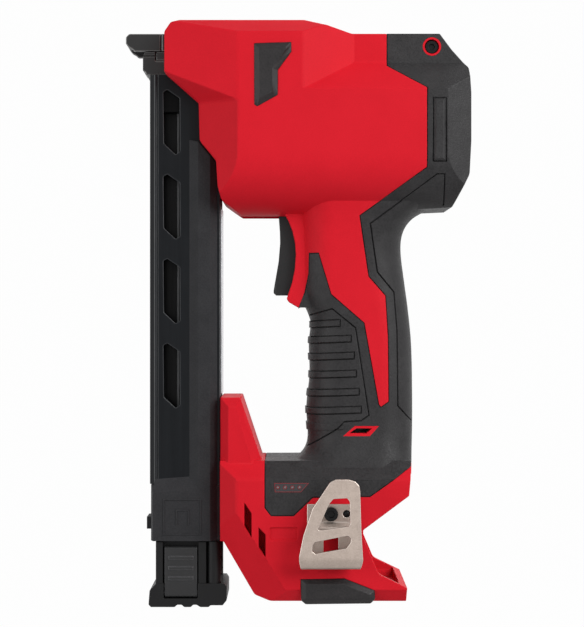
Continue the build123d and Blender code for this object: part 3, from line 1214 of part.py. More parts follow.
# Sliding end piece with its latches
stem_z = (END_HEIGHT - POCKET_PLAY, COVER_BOTTOM_Z - SLIDE_GAP)
stem_y = (-END_HALF + STEM_INSET, -PLUG_HALF + POCKET_PLAY)
latch_y = (-END_HALF + LATCH_INSET, -END_HALF + LATCH_INSET + LATCH_THICK)
hinge = (sum(latch_y) / 2, LATCH_HINGE_Z)
pin_x = (LATCH_X[0] - LATCH_PIN, LATCH_X[1] + LATCH_PIN)
with BuildPart() as post:
    with BuildSketch(Plane.XY.offset(stem_z[0])):
        with Locations((POST_X, -PLUG_HALF - STEM_FOOT)):
            Circle(POST_RADIUS)
    extrude(amount=stem_z[1] - stem_z[0])
stems = joined(
    block(STEM_FRONT_X, stem_y, stem_z), block(STEM_REAR_X, stem_y, stem_z),
    block(STEM_WEB_X, (-PLUG_HALF - STEM_FOOT, -PLUG_HALF + POCKET_PLAY), stem_z), post.part,
)
latch_room = joined(
    block(
        (LATCH_X[0] - SLIDE_GAP, LATCH_X[1] + SLIDE_GAP), (OUTSIDE_Y, -PLUG_HALF),
        (LATCH_Z[0] - SLIDE_GAP, stem_z[1]),
    ),
    x_bar(LATCH_HINGE + RUN_GAP, (pin_x[0] - SLIDE_GAP, pin_x[1] + SLIDE_GAP), *hinge),
)
slide_end = joined(
    side_prism(END_OUTLINE, *about(END_HALF)),
    block(PLUG_X, about(PLUG_HALF), (stem_z[0], PLUG_TOP_Z)), stems, across(stems),
)
save("slide_end", cut(slide_end, latch_room, across(latch_room)))
with BuildPart() as latch_plate:
    add(block(LATCH_X, latch_y, LATCH_Z))
    fillet(latch_plate.part.edges().filter_by(Axis.X).sort_by(Axis.Y)[:2], LATCH_EDGE)
latch = joined(
    latch_plate.part, x_bar(LATCH_HINGE, pin_x, *hinge),
    *[block(RIDGE_X, (latch_y[0] - RIDGE_PROUD, latch_y[0]), (z, z + RIDGE_TALL)) for z in RIDGE_Z],
)
save("latch_left", latch)
save("latch_right", across(latch))

# Staple track and follower
track_x = (TRACK_FRONT_X + TRACK_REAR_X) / 2
track_length = TRACK_REAR_X - TRACK_FRONT_X
with BuildPart() as track:
    with BuildSketch(Plane.XY.offset(PLUG_TOP_Z)):
        with Locations((track_x, 0)):
            RectangleRounded(track_length, 2 * TRACK_HALF, TRACK_CORNER)
            RectangleRounded(
                track_length - 2 * TRACK_WALL, 2 * (TRACK_HALF - TRACK_WALL), TRACK_CORNER - TRACK_WALL,
                mode=Mode.SUBTRACT,
            )
    extrude(amount=TRACK_TOP_Z - PLUG_TOP_Z)
save("slide_track", track.part)
follower_z = (FOLLOWER_TOP_Z - FOLLOWER_HEIGHT, FOLLOWER_TOP_Z)
roll = (ROLL_X, sum(follower_z) / 2)
track_room = block((MAG_FRONT_X, TRACK_REAR_X + SLIDE_GAP), about(TRACK_HALF + SLIDE_GAP), follower_z)
roll_room = y_bar(ROLL_RADIUS, (ROLL_Y[0], -TRACK_HALF), *roll)
save("staple_follower", cut(block(PLUG_X, about(PLUG_HALF), follower_z), track_room, roll_room))
save("follower_spring", cut(y_bar(ROLL_RADIUS, ROLL_Y, *roll), y_bar(ROLL_BORE, LEFT_SIDE, *roll)))
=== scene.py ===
"""Looks of a cordless cable stapler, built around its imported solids.

Every length that a reader may want to change is a dataclass field in millimetres. The frame itself is in
metres: x runs from the nose to the back of the tool, z runs up, and the left side is y below zero.
"""

import json
import logging
import math
from dataclasses import dataclass, field
from enum import Enum
from typing import ClassVar

import bmesh
import bpy
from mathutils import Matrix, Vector
from mathutils.bvhtree import BVHTree
from mathutils.kdtree import KDTree


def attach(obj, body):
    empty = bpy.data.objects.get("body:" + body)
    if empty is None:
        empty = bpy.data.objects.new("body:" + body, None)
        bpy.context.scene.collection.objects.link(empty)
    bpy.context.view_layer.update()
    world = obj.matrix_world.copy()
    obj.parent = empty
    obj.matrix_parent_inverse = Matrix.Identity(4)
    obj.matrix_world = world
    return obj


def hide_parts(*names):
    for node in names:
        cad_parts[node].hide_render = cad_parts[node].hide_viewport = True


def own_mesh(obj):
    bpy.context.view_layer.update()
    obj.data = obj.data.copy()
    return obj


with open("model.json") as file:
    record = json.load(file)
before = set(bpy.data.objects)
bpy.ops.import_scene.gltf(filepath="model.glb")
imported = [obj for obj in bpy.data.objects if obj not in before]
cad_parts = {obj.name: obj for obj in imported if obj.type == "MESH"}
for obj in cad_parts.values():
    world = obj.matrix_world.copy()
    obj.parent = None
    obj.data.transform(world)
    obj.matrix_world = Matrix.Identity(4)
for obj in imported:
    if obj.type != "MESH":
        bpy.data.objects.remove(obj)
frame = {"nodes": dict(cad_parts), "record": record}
log = logging.getLogger("cable_stapler")

MM = 0.001
# Corners closer than this are one corner
WELD_MM = 0.002
# Width that the edge modifier gets on a piece without a rounded edge
SHARP_MM = 0.001
# Flatter edges belong to the curved faces of bent sheet and mouldings, and of turned screws
CURVED_DEG = 24.0
SCREW_DEG = 30.0
LEFT = -1
RIGHT = 1
SIDE_NAMES = {LEFT: "left", RIGHT: "right"}
BODY_OF = {node: body for body, nodes in frame["record"]["behaviour"]["bodies"].items() for node in nodes}
Point2 = tuple[float, float]
Point3 = tuple[float, float, float]
Colour = tuple[float, float, float, float]


def linear(code: str) -> Colour:
    """Turn an sRGB hex value into a linear colour.

    Args:
        code: Six hex digits after a hash sign.

    Returns:
        Linear red, green, blue and an alpha of 1.
    """
    channels = [int(code[place:place + 2], 16) / 255 for place in (1, 3, 5)]
    lit = [c / 12.92 if c <= 0.04045 else ((c + 0.055) / 1.055) ** 2.4 for c in channels]
    return (lit[0], lit[1], lit[2], 1.0)


def per_metre(size_mm: float) -> float:
    """Texture scale at which one feature is about size_mm wide."""
    return 1.0 / (size_mm * MM)


def add_node(
    tree: bpy.types.NodeTree, kind: str, inputs: dict | None = None, **settings: object
) -> bpy.types.Node:
    """Add one node with its settings, and fill or link its inputs.

    Args:
        tree: The node tree to add to.
        kind: Blender's type name of the node.
        inputs: Input name or number to a value, or to the output socket that feeds it.
        settings: Attributes of the node.

    Returns:
        The new node.
    """
    node = tree.nodes.new(kind)
    for name, value in settings.items():
        setattr(node, name, value)
    for name, value in (inputs or {}).items():
        if isinstance(value, bpy.types.NodeSocket):
            tree.links.new(value, node.inputs[name])
        else:
            node.inputs[name].default_value = value
    return node


def blank_material(name: str) -> tuple[bpy.types.Material, bpy.types.NodeTree]:
    """Start a node material with nothing in it.

    Args:
        name: The material's name.

    Returns:
        The material and its empty node tree.
    """
    material = bpy.data.materials.new(name)
    material.use_nodes = True
    material.node_tree.nodes.clear()
    return material, material.node_tree


class Direction(Enum):
    """Way in which a surface was drawn, rolled or brushed, as texture stretch along x, y and z."""

    NONE = (1.0, 1.0, 1.0)
    ALONG_X = (0.03, 1.0, 1.0)
    ALONG_Y = (1.0, 0.03, 1.0)
    ALONG_Z = (1.0, 1.0, 0.03)


@dataclass(frozen=True)
class Finish:
    """One real surface: its colours, its gloss and the size of its texture.

    Attributes:
        name: Common name of the material and how it was made.
        colour: Main colour, sRGB hex.
        shade: Colour of the patches that differ a little, sRGB hex.
        patch_mm: Width of those patches.
        grain_mm: Width of one grain of the surface, coarser than the real one.
        depth_mm: Height of the grain.
        roughness: Middle roughness.
        spread: How far roughness swings either way.
        metallic: 1 for a bare metal.
        ior: Index of refraction. A metal keeps the default.
        specular: Specular level of the shader.
        sheen: Weight of the soft sheen that rubber shows.
        coat: Weight of a clear coat.
        drawn: Direction of draw or brush marks.
        patch_octaves: Levels of detail in the patches.
        patch_break: How strongly each finer level of the patches counts.
        grain_octaves: Levels of detail in the grain.
        grain_break: How strongly each finer level of the grain counts.
        grain_share: Part of the tint that follows the grain, the rest follows the patches.
        tint_span: Noise values at which the tint is all shade and all colour.
        gloss_span: Noise values at which roughness is lowest and highest.
        sheen_roughness: Roughness of the sheen.
        coat_roughness: Roughness of the clear coat.
    """

    patch_octaves: ClassVar[float] = 3.0
    patch_break: ClassVar[float] = 0.6
    grain_octaves: ClassVar[float] = 2.0
    grain_break: ClassVar[float] = 0.55
    grain_share: ClassVar[float] = 0.6
    tint_span: ClassVar[Point2] = (0.34, 0.66)
    gloss_span: ClassVar[Point2] = (0.3, 0.7)
    sheen_roughness: ClassVar[float] = 0.5
    coat_roughness: ClassVar[float] = 0.15

    name: str
    colour: str
    shade: str
    patch_mm: float = 9.0
    grain_mm: float = 0.5
    depth_mm: float = 0.02
    roughness: float = 0.5
    spread: float = 0.06
    metallic: float = 0.0
    ior: float = 1.5
    specular: float = 0.5
    sheen: float = 0.0
    coat: float = 0.0
    drawn: Direction = Direction.NONE

    def make(self) -> bpy.types.Material:
        """Build the node material, once.

        Returns:
            The material, also on later calls.
        """
        if self.name in bpy.data.materials:
            return bpy.data.materials[self.name]
        material, tree = blank_material(self.name)
        place = add_node(tree, "ShaderNodeTexCoord").outputs["Object"]
        stretched = add_node(
            tree, "ShaderNodeMapping", {"Vector": place, "Scale": self.drawn.value}, vector_type="POINT"
        ).outputs["Vector"]
        patches = add_node(
            tree, "ShaderNodeTexNoise",
            {
                "Vector": place, "Scale": per_metre(self.patch_mm), "Detail": self.patch_octaves,
                "Roughness": self.patch_break,
            },
        ).outputs["Fac"]
        grain = add_node(
            tree, "ShaderNodeTexNoise",
            {
                "Vector": stretched, "Scale": per_metre(self.grain_mm), "Detail": self.grain_octaves,
                "Roughness": self.grain_break,
            },
        ).outputs["Fac"]
        mean = add_node(tree, "ShaderNodeMix", {"Factor": self.grain_share, "A": patches, "B": grain})
        tint = add_node(
            tree, "ShaderNodeMapRange",
            {
                "Value": mean.outputs["Result"], "From Min": self.tint_span[0], "From Max": self.tint_span[1],
                "To Min": 0.0, "To Max": 1.0,
            },
        )
        # A colour mix has its two colours at these sockets, behind those of the other data types
        shade_socket, colour_socket, mixed_socket = 6, 7, 2
        colour = add_node(
            tree, "ShaderNodeMix",
            {
                "Factor": tint.outputs["Result"], shade_socket: linear(self.shade),
                colour_socket: linear(self.colour),
            },
            data_type="RGBA",
        )
        gloss = add_node(
            tree, "ShaderNodeMapRange",
            {
                "Value": grain, "From Min": self.gloss_span[0], "From Max": self.gloss_span[1],
                "To Min": self.roughness - self.spread, "To Max": self.roughness + self.spread,
            },
        )
        bump = add_node(
            tree, "ShaderNodeBump", {"Height": grain, "Strength": 1.0, "Distance": self.depth_mm * MM}
        )
        shader = add_node(
            tree, "ShaderNodeBsdfPrincipled",
            {
                "Base Color": colour.outputs[mixed_socket], "Roughness": gloss.outputs["Result"],
                "Normal": bump.outputs["Normal"], "Metallic": self.metallic, "IOR": self.ior,
                "Specular IOR Level": self.specular, "Sheen Weight": self.sheen,
                "Sheen Roughness": self.sheen_roughness, "Coat Weight": self.coat,
                "Coat Roughness": self.coat_roughness,
            },
        )
        add_node(tree, "ShaderNodeOutputMaterial", {"Surface": shader.outputs["BSDF"]})
        return material


# Real spark, blasting, rolling and grinding marks are about a tenth of the grain widths below. They are too
# fine to show in the render, so every finish draws them as coarse as they need to show.

# Glass-filled nylon, moulded with a fine spark texture: even red with a dull broad highlight
RED_NYLON = Finish(
    "red_nylon_moulded", "#DC202E", "#D31D2A", patch_mm=14.0, grain_mm=0.5, depth_mm=0.01, roughness=0.5,
    spread=0.05, ior=1.53, specular=0.06,
)
# The same nylon where a lamp sleeve is polished: deeper red and glossier
LAMP_SLEEVE = Finish(
    "red_nylon_polished", "#861B23", "#741920", patch_mm=2.0, grain_mm=0.4, depth_mm=0.003, roughness=0.3,
    spread=0.05, ior=1.53, specular=0.4,
)
# Thermoplastic rubber moulded over the nylon: dark grey with a coarse pebble that sparkles faintly
GRIP_RUBBER = Finish(
    "overmould_rubber", "#333233", "#1E1D1E", patch_mm=6.0, grain_mm=0.8, depth_mm=0.1, roughness=0.54,
    spread=0.16, ior=1.5, specular=0.24, sheen=0.02,
)
# Solid rubber pads: smoother and a little browner than the overmould
PAD_RUBBER = Finish(
    "solid_rubber_moulded", "#292627", "#191718", patch_mm=5.0, grain_mm=0.7, depth_mm=0.05, roughness=0.46,
    spread=0.1, specular=0.28, sheen=0.01,
)
# Glass-filled nylon in black: satin with faint flow patches
BLACK_NYLON = Finish(
    "black_nylon_moulded", "#2A2A2B", "#202021", patch_mm=8.0, grain_mm=0.5, depth_mm=0.02, roughness=0.5,
    spread=0.08, ior=1.53, specular=0.28,
)
# The same black nylon on the rounded edges: paler and smoother, partly thumb wear and partly a painted
# highlight along each edge
RUBBED_AND_HIGHLIT_NYLON = Finish(
    "black_nylon_worn_and_highlit_edge", "#48484A", "#343436", patch_mm=2.0, grain_mm=0.5, depth_mm=0.008,
    roughness=0.4, spread=0.06, ior=1.53, specular=0.4,
)
# The trigger's nylon, rubbed by fingers: darker and smoother
TRIGGER_NYLON = Finish(
    "black_nylon_rubbed", "#222223", "#191A1A", patch_mm=10.0, grain_mm=0.6, depth_mm=0.01, roughness=0.44,
    spread=0.06, ior=1.53, specular=0.25,
)
# Oil-filled nylon of the sliding pieces: nearly black, dull
END_NYLON = Finish(
    "oil_filled_nylon", "#161617", "#101011", patch_mm=7.0, grain_mm=0.5, depth_mm=0.015, roughness=0.48,
    spread=0.07, ior=1.53, specular=0.18,
)
# The follower's nylon, painted near-black for the shade inside the magazine, with hardly a gleam
SHADED_FOLLOWER_NYLON = Finish(
    "follower_nylon_painted_shade", "#0B0B0C", "#070708", patch_mm=5.0, grain_mm=0.5, depth_mm=0.01, roughness=0.42,
    spread=0.06, ior=1.53, specular=0.06,
)
# Black nylon of the magazine cover: greyer, with a visible spark texture
COVER_NYLON = Finish(
    "cover_nylon_moulded", "#38383A", "#2D2D2F", patch_mm=6.0, grain_mm=0.6, depth_mm=0.04, roughness=0.55,
    spread=0.1, ior=1.53, specular=0.08,
)
# Extruded aluminium, black anodised: blue-black with draw lines along its length
ANODISED = Finish(
    "black_anodised_extrusion", "#15171A", "#0F1114", patch_mm=10.0, grain_mm=0.8, depth_mm=0.008,
    roughness=0.42, spread=0.08, drawn=Direction.ALONG_Z, ior=1.6, specular=0.1,
)
# Rounded edges of the extrusion: a fine pale line, partly thin anodising and partly a painted highlight
THIN_AND_HIGHLIT_ANODISED_EDGE = Finish(
    "rubbed_and_highlit_anodised_edge", "#2E3033", "#1E2022", patch_mm=3.0, grain_mm=0.5, depth_mm=0.004, roughness=0.36,
    spread=0.06, drawn=Direction.ALONG_Z, ior=1.6, specular=0.3,
)
# Pressed sheet steel with a nickel plate over a blasted surface: warm grey with a fine even grain
PLATED_SHEET = Finish(
    "nickel_plated_sheet", "#B9ABA1", "#A3958C", patch_mm=2.5, grain_mm=0.5, depth_mm=0.012, roughness=0.52,
    spread=0.06, metallic=1.0,
)
# Sheared edge of the plated sheet, tumbled smooth: paler than the blasted face
SHEARED_EDGE = Finish(
    "nickel_plated_edge", "#CFC4BB", "#B8ABA2", patch_mm=1.5, grain_mm=0.4, depth_mm=0.004, roughness=0.34,
    spread=0.05, metallic=1.0,
)
# Hardened steel with a black phosphate coat: nearly black, with a dull metal gleam
PHOSPHATED = Finish(
    "black_phosphated_steel", "#1A1919", "#111010", patch_mm=4.0, grain_mm=0.55, depth_mm=0.03,
    roughness=0.46, spread=0.1, specular=0.2, ior=1.8,
)
# Rounded edges paler than the phosphate: partly worn towards the steel and partly a painted highlight, a dark
# grey gleam
WORN_AND_HIGHLIT_EDGE = Finish(
    "worn_and_highlit_phosphated_edge", "#403D3A", "#242220", patch_mm=2.0, grain_mm=0.4, depth_mm=0.006, roughness=0.38,
    spread=0.08, specular=0.6, ior=1.8,
)
# Socket screws with a black oxide coat: darker and glossier
BLACK_OXIDE = Finish(
    "black_oxide_screw", "#0D0D0E", "#080809", patch_mm=2.0, grain_mm=0.3, depth_mm=0.006, roughness=0.3,
    spread=0.06, specular=0.1, ior=1.8,
)
# Cold rolled steel strip, bright: pale grey with fine rolling marks
BRIGHT_STEEL = Finish(
    "bright_rolled_steel", "#D6D6D8", "#C2C2C5", patch_mm=6.0, grain_mm=0.4, depth_mm=0.006, roughness=0.28,
    spread=0.08, metallic=1.0, drawn=Direction.ALONG_Z,
)
# Ground rods and plates: bright with grinding marks across
GROUND_STEEL = Finish(
    "ground_steel", "#C4C4C6", "#AFAFB2", patch_mm=5.0, grain_mm=0.4, depth_mm=0.006, roughness=0.3,
    spread=0.08, metallic=1.0, drawn=Direction.ALONG_Y,
)
# Track of the magazine: steel painted nearly black for the shade inside the magazine, with a long soft gleam
SHADED_TRACK_STEEL = Finish(
    "track_steel_painted_shade", "#0C0C0D", "#070708", patch_mm=8.0, grain_mm=0.5, depth_mm=0.006, roughness=0.34,
    spread=0.08, drawn=Direction.ALONG_Z, specular=0.06, ior=1.8,
)
# Pale grey strip along the track: a painted highlight, a dull grey line where the track would gleam
TRACK_HIGHLIGHT_STEEL = Finish(
    "track_painted_highlight_steel", "#8C8D90", "#68696C", patch_mm=5.0, grain_mm=0.4, depth_mm=0.004, roughness=0.36,
    spread=0.08, drawn=Direction.ALONG_Z, specular=0.3, ior=1.8,
)
# Oil-tempered spring wire: brown-grey with a greasy gleam
SPRING_WIRE = Finish(
    "oil_tempered_wire", "#8E8880", "#6F6A63", patch_mm=3.0, grain_mm=0.3, depth_mm=0.006, roughness=0.34,
    spread=0.08, metallic=1.0,
)
# Sintered gears under grease: darker steel, amber in the patches
GEAR_STEEL = Finish(
    "greased_gear_steel", "#A9A49A", "#8C7F63", patch_mm=4.0, grain_mm=0.35, depth_mm=0.01, roughness=0.36,
    spread=0.1, metallic=1.0,
)
# Die-cast aluminium: light grey with a sandy skin
CAST_ALUMINIUM = Finish(
    "die_cast_aluminium", "#B9BABC", "#A2A3A6", patch_mm=4.0, grain_mm=0.7, depth_mm=0.03, roughness=0.5,
    spread=0.1, metallic=1.0,
)
# Zinc-plated motor can: cool grey, satin
ZINC_PLATE = Finish(
    "zinc_plated_can", "#9DA0A3", "#84878B", patch_mm=3.0, grain_mm=0.4, depth_mm=0.006, roughness=0.34,
    spread=0.08, metallic=1.0,
)
# Turned brass inserts: yellow with turning marks
BRASS = Finish(
    "turned_brass", "#C8A45A", "#B08B45", patch_mm=2.0, grain_mm=0.3, depth_mm=0.008, roughness=0.3,
    spread=0.06, metallic=1.0, drawn=Direction.ALONG_X,
)
# Tinned copper contacts: soft white metal
TINNED_COPPER = Finish(
    "tinned_copper", "#CFC9BC", "#B7AE9C", patch_mm=3.0, grain_mm=0.4, depth_mm=0.004, roughness=0.26,
    spread=0.06, metallic=1.0,
)
# Epoxy board under green solder mask: glossy, with the weave faintly seen
SOLDER_MASK = Finish(
    "solder_mask_board", "#1F5A38", "#17472C", patch_mm=1.2, grain_mm=0.8, depth_mm=0.01, roughness=0.3,
    spread=0.06, coat=0.4,
)
# Smoked polycarbonate of the charge gauge: glossy and dark
SMOKED_LENS = Finish(
    "smoked_polycarbonate", "#39383A", "#302F31", patch_mm=3.0, grain_mm=0.6, depth_mm=0.004, roughness=0.42,
    spread=0.05, ior=1.58, specular=0.3,
)
# Frosted polycarbonate light guides, unlit: pale grey
LIGHT_GUIDE = Finish(
    "frosted_light_guide", "#7A7778", "#686465", patch_mm=1.0, grain_mm=0.3, depth_mm=0.004, roughness=0.4,
    spread=0.05, ior=1.58, specular=0.4,
)


def coat(piece: bpy.types.Object, *finishes: Finish) -> None:
    """Give an object some finishes in place of what it had.

    Args:
        piece: The object.
        finishes: Its finishes, slot by slot.
    """
    piece.data.materials.clear()
    for finish in finishes:
        piece.data.materials.append(finish.make())


def new_piece(name: str, mesh: bpy.types.Mesh, node: str, *finishes: Finish) -> bpy.types.Object:
    """Put a mesh into the scene as a piece that goes with a solid.

    Args:
        name: The piece's name.
        mesh: Its mesh, in place.
        node: The solid whose body it rides on and whose slot it has.
        finishes: Its finishes, slot by slot.

    Returns:
        The piece.
    """
    piece = bpy.data.objects.new(name, mesh)
    bpy.context.scene.collection.objects.link(piece)
    coat(piece, *finishes)
    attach(piece, BODY_OF[node])
    log.info("%s rides on %s", name, BODY_OF[node])
    return piece


def welded(*nodes: str) -> bmesh.types.BMesh:
    """Copy the meshes of some solids with their corners joined.

    Args:
        nodes: The solids.

    Returns:
        One mesh that the caller frees.
    """
    form = bmesh.new()
    for node in nodes:
        form.from_mesh(frame["nodes"][node].data)
    bmesh.ops.remove_doubles(form, verts=form.verts, dist=WELD_MM * MM)
    return form


def as_mesh(form: bmesh.types.BMesh, name: str, smooth: bool = True) -> bpy.types.Mesh:
    """Turn a working mesh into a finished one without the solid's stored normals.

    Args:
        form: The working mesh, which is freed.
        name: The new mesh's name.
        smooth: False where every face shades flat.

    Returns:
        The mesh.
    """
    for face in form.faces:
        face.smooth = smooth
    mesh = bpy.data.meshes.new(name)
    form.to_mesh(mesh)
    form.free()
    if "custom_normal" in mesh.attributes:
        mesh.attributes.remove(mesh.attributes["custom_normal"])
    return mesh


def tube(form: bmesh.types.BMesh, rows: list[list[bmesh.types.BMVert]], closed: bool) -> None:
    """Join rows of corners with faces.

    Args:
        form: The mesh that they are in.
        rows: Cross-sections in order, each with its corners in order.
        closed: True where the last row meets the first. Otherwise both ends get a face.
    """
    for row, following in list(zip(rows, rows[1:])) + ([(rows[-1], rows[0])] if closed else []):
        for first in range(len(row)):
            second = (first + 1) % len(row)
            form.faces.new((row[first], row[second], following[second], following[first]))
    if not closed:
        form.faces.new(rows[0])
        form.faces.new(reversed(rows[-1]))


def turned(profile_mm: list[Point2], place_mm: Point2, closed: bool, sides: int = 24) -> bmesh.types.BMesh:
    """Turn a profile about an axis along y.

    Args:
        profile_mm: Corners of the profile, (radius, y).
        place_mm: Where the axis is in the side view, (x, z).
        closed: True where the profile runs round to its start.
        sides: Number of faces round the axis.

    Returns:
        A mesh that the caller frees.
    """
    x, z = place_mm
    form = bmesh.new()
    corners = [form.verts.new(Vector((x + radius, y, z)) * MM) for radius, y in profile_mm]
    pairs = list(zip(corners, corners[1:])) + ([(corners[-1], corners[0])] if closed else [])
    edges = [form.edges.new(pair) for pair in pairs]
    bmesh.ops.spin(
        form, geom=corners + edges, axis=(0.0, 1.0, 0.0), cent=Vector((x, 0.0, z)) * MM, angle=math.tau,
        steps=sides, use_merge=True,
    )
    bmesh.ops.remove_doubles(form, verts=form.verts, dist=WELD_MM * MM)
    bmesh.ops.recalc_face_normals(form, faces=form.faces)
    return form


@dataclass
class Sight:
    """What an onlooker can see of all the solids at rest.

    Attributes:
        lift_mm: How far above a surface a line of sight starts.
        tree: All the solids.
        ways: Directions to look from.
    """

    lift_mm: float = 0.05
    tree: BVHTree = field(init=False, repr=False)
    ways: list[Vector] = field(init=False, repr=False)

    def __post_init__(self) -> None:
        """Gather the solids and the directions to look from."""
        form = bmesh.new()
        for node in frame["nodes"].values():
            form.from_mesh(node.data)
        self.tree = BVHTree.FromBMesh(form)
        form.free()
        steps = (-1.0, 0.0, 1.0)
        corners = [Vector((x, y, z)) for x in steps for y in steps for z in steps if x or y or z]
        self.ways = [corner.normalized() for corner in corners]

    def reaches(self, point: Vector, normal: Vector) -> bool:
        """Tell whether any straight line leads from a surface point to the open.

        Args:
            point: A point on a surface.
            normal: Which way the surface faces there.

        Returns:
            True where somebody outside can see it.
        """
        start = point + normal * self.lift_mm * MM
        return any(self.tree.ray_cast(start, way)[0] is None for way in self.ways if way.dot(normal) > 0.0)


@dataclass
class Surface:
    """Outer side of some solids, found by looking in from the left or the right.

    Attributes:
        nodes: The solids.
        outside_mm: Distance from the tool's middle to where the look starts.
        tree: The solids together.
    """

    nodes: tuple[str, ...]
    outside_mm: float = 60.0
    tree: BVHTree = field(init=False, repr=False)

    def __post_init__(self) -> None:
        """Gather the solids."""
        form = welded(*self.nodes)
        self.tree = BVHTree.FromBMesh(form)
        form.free()

    def at(self, x_mm: float, z_mm: float, side: int) -> tuple[Vector, Vector] | None:
        """Find the outermost point at one place of the side view.

        Args:
            x_mm: Place along the tool.
            z_mm: Height.
            side: LEFT or RIGHT.

        Returns:
            The point and the surface's outward normal, in metres, or None beside the solids.
        """
        start = Vector((x_mm, side * self.outside_mm, z_mm)) * MM
        point, normal, _, _ = self.tree.ray_cast(start, Vector((0.0, -side, 0.0)))
        return None if point is None else (point, normal)


@dataclass(frozen=True)
class Groove:
    """V-shaped line pressed into a side of the tool.

    Attributes:
        points_mm: Corners of the line, (x, z).
        wide_mm: Width at the surface.
        deep_mm: Depth.
        closed: True where the line runs round to its start.
        step_mm: Longest distance between two places where the surface is felt.
        proud_mm: How far the cutter stands out of the surface.
        overrun_mm: How far an open line runs on at its ends.
        miter_least: Smallest cosine of half a bend that the blade's width allows for.
    """

    points_mm: tuple[Point2, ...]
    wide_mm: float = 0.7
    deep_mm: float = 0.7
    closed: bool = False
    step_mm: float = 1.0
    proud_mm: float = 0.4
    overrun_mm: float = 0.8
    miter_least: float = 0.5

    def line(self) -> list[Point2]:
        """Divide the line finely enough to follow the surface.

        Returns:
            Points (x, z) in millimetres.
        """
        corners = list(self.points_mm) + ([self.points_mm[0]] if self.closed else [])
        fine = []
        for (x0, z0), (x1, z1) in zip(corners, corners[1:]):
            count = max(1, math.ceil(math.hypot(x1 - x0, z1 - z0) / self.step_mm))
            fine += [(x0 + (x1 - x0) * n / count, z0 + (z1 - z0) * n / count) for n in range(count)]
        return fine if self.closed else fine + [corners[-1]]

    def cutter(self, surface: Surface, side: int) -> bpy.types.Object:
        """Build the blade that presses the line.

        Args:
            surface: The surface that it is pressed into.
            side: LEFT or RIGHT.

        Returns:
            A closed object, to be deleted after use.
        """
        felt = [spot for spot in (surface.at(x, z, side) for x, z in self.line()) if spot]
        if not self.closed:
            for end, inner in ((0, 1), (-1, -2)):
                outward = (felt[end][0] - felt[inner][0]).normalized() * self.overrun_mm * MM
                felt[end] = (felt[end][0] + outward, felt[end][1])
        spots = [point for point, _ in felt]
        count = len(spots)
        spread = (self.deep_mm + self.proud_mm) / self.deep_mm * self.wide_mm / 2
        form = bmesh.new()
        rows = []
        for number, (point, normal) in enumerate(felt):
            before = spots[number - 1] if number or self.closed else point
            after = spots[(number + 1) % count] if number < count - 1 or self.closed else point
            way_in = (point - before).normalized() if before is not point else (after - point).normalized()
            way_out = (after - point).normalized() if after is not point else way_in
            along = (way_in + way_out).normalized()
            across = normal.cross(along).normalized()
            miter = spread / max(self.miter_least, along.dot(way_in))
            rows.append([
                form.verts.new(point - normal * self.deep_mm * MM),
                form.verts.new(point + normal * self.proud_mm * MM + across * miter * MM),
                form.verts.new(point + normal * self.proud_mm * MM - across * miter * MM),
            ])
        tube(form, rows, self.closed)
        bmesh.ops.triangulate(form, faces=form.faces)
        bmesh.ops.recalc_face_normals(form, faces=form.faces)
        blade = bpy.data.objects.new("groove_cutter", as_mesh(form, "groove_cutter", smooth=False))
        bpy.context.scene.collection.objects.link(blade)
        return blade


def pressed(mesh: bpy.types.Mesh, blades: list[bpy.types.Object]) -> bpy.types.Mesh:
    """Cut blades out of a mesh and clear them away.

    Args:
        mesh: The mesh to cut.
        blades: The cutters, which are deleted.

    Returns:
        The mesh that is left.
    """
    holder = bpy.data.objects.new("groove_holder", mesh)
    bpy.context.scene.collection.objects.link(holder)
    for blade in blades:
        cut = holder.modifiers.new("groove", "BOOLEAN")
        cut.operation = "DIFFERENCE"
        cut.solver = "EXACT"
        cut.object = blade
    seen = holder.evaluated_get(bpy.context.evaluated_depsgraph_get())
    left = bpy.data.meshes.new_from_object(seen)
    for used in [holder, *blades]:
        bpy.data.objects.remove(used)
    return left


@dataclass(frozen=True)
class FinePlace:
    """Part of the side view with small features, where edges are rounded less.

    Attributes:
        low_mm: Its lowest corner, (x, z).
        high_mm: Its highest corner.
        edge_mm: Width of a round there.
    """

    low_mm: Point2
    high_mm: Point2
    edge_mm: float

    def holds(self, point: Vector) -> bool:
        """True for a point of this place."""
        x, z = point.x / MM, point.z / MM
        return self.low_mm[0] <= x <= self.high_mm[0] and self.low_mm[1] <= z <= self.high_mm[1]


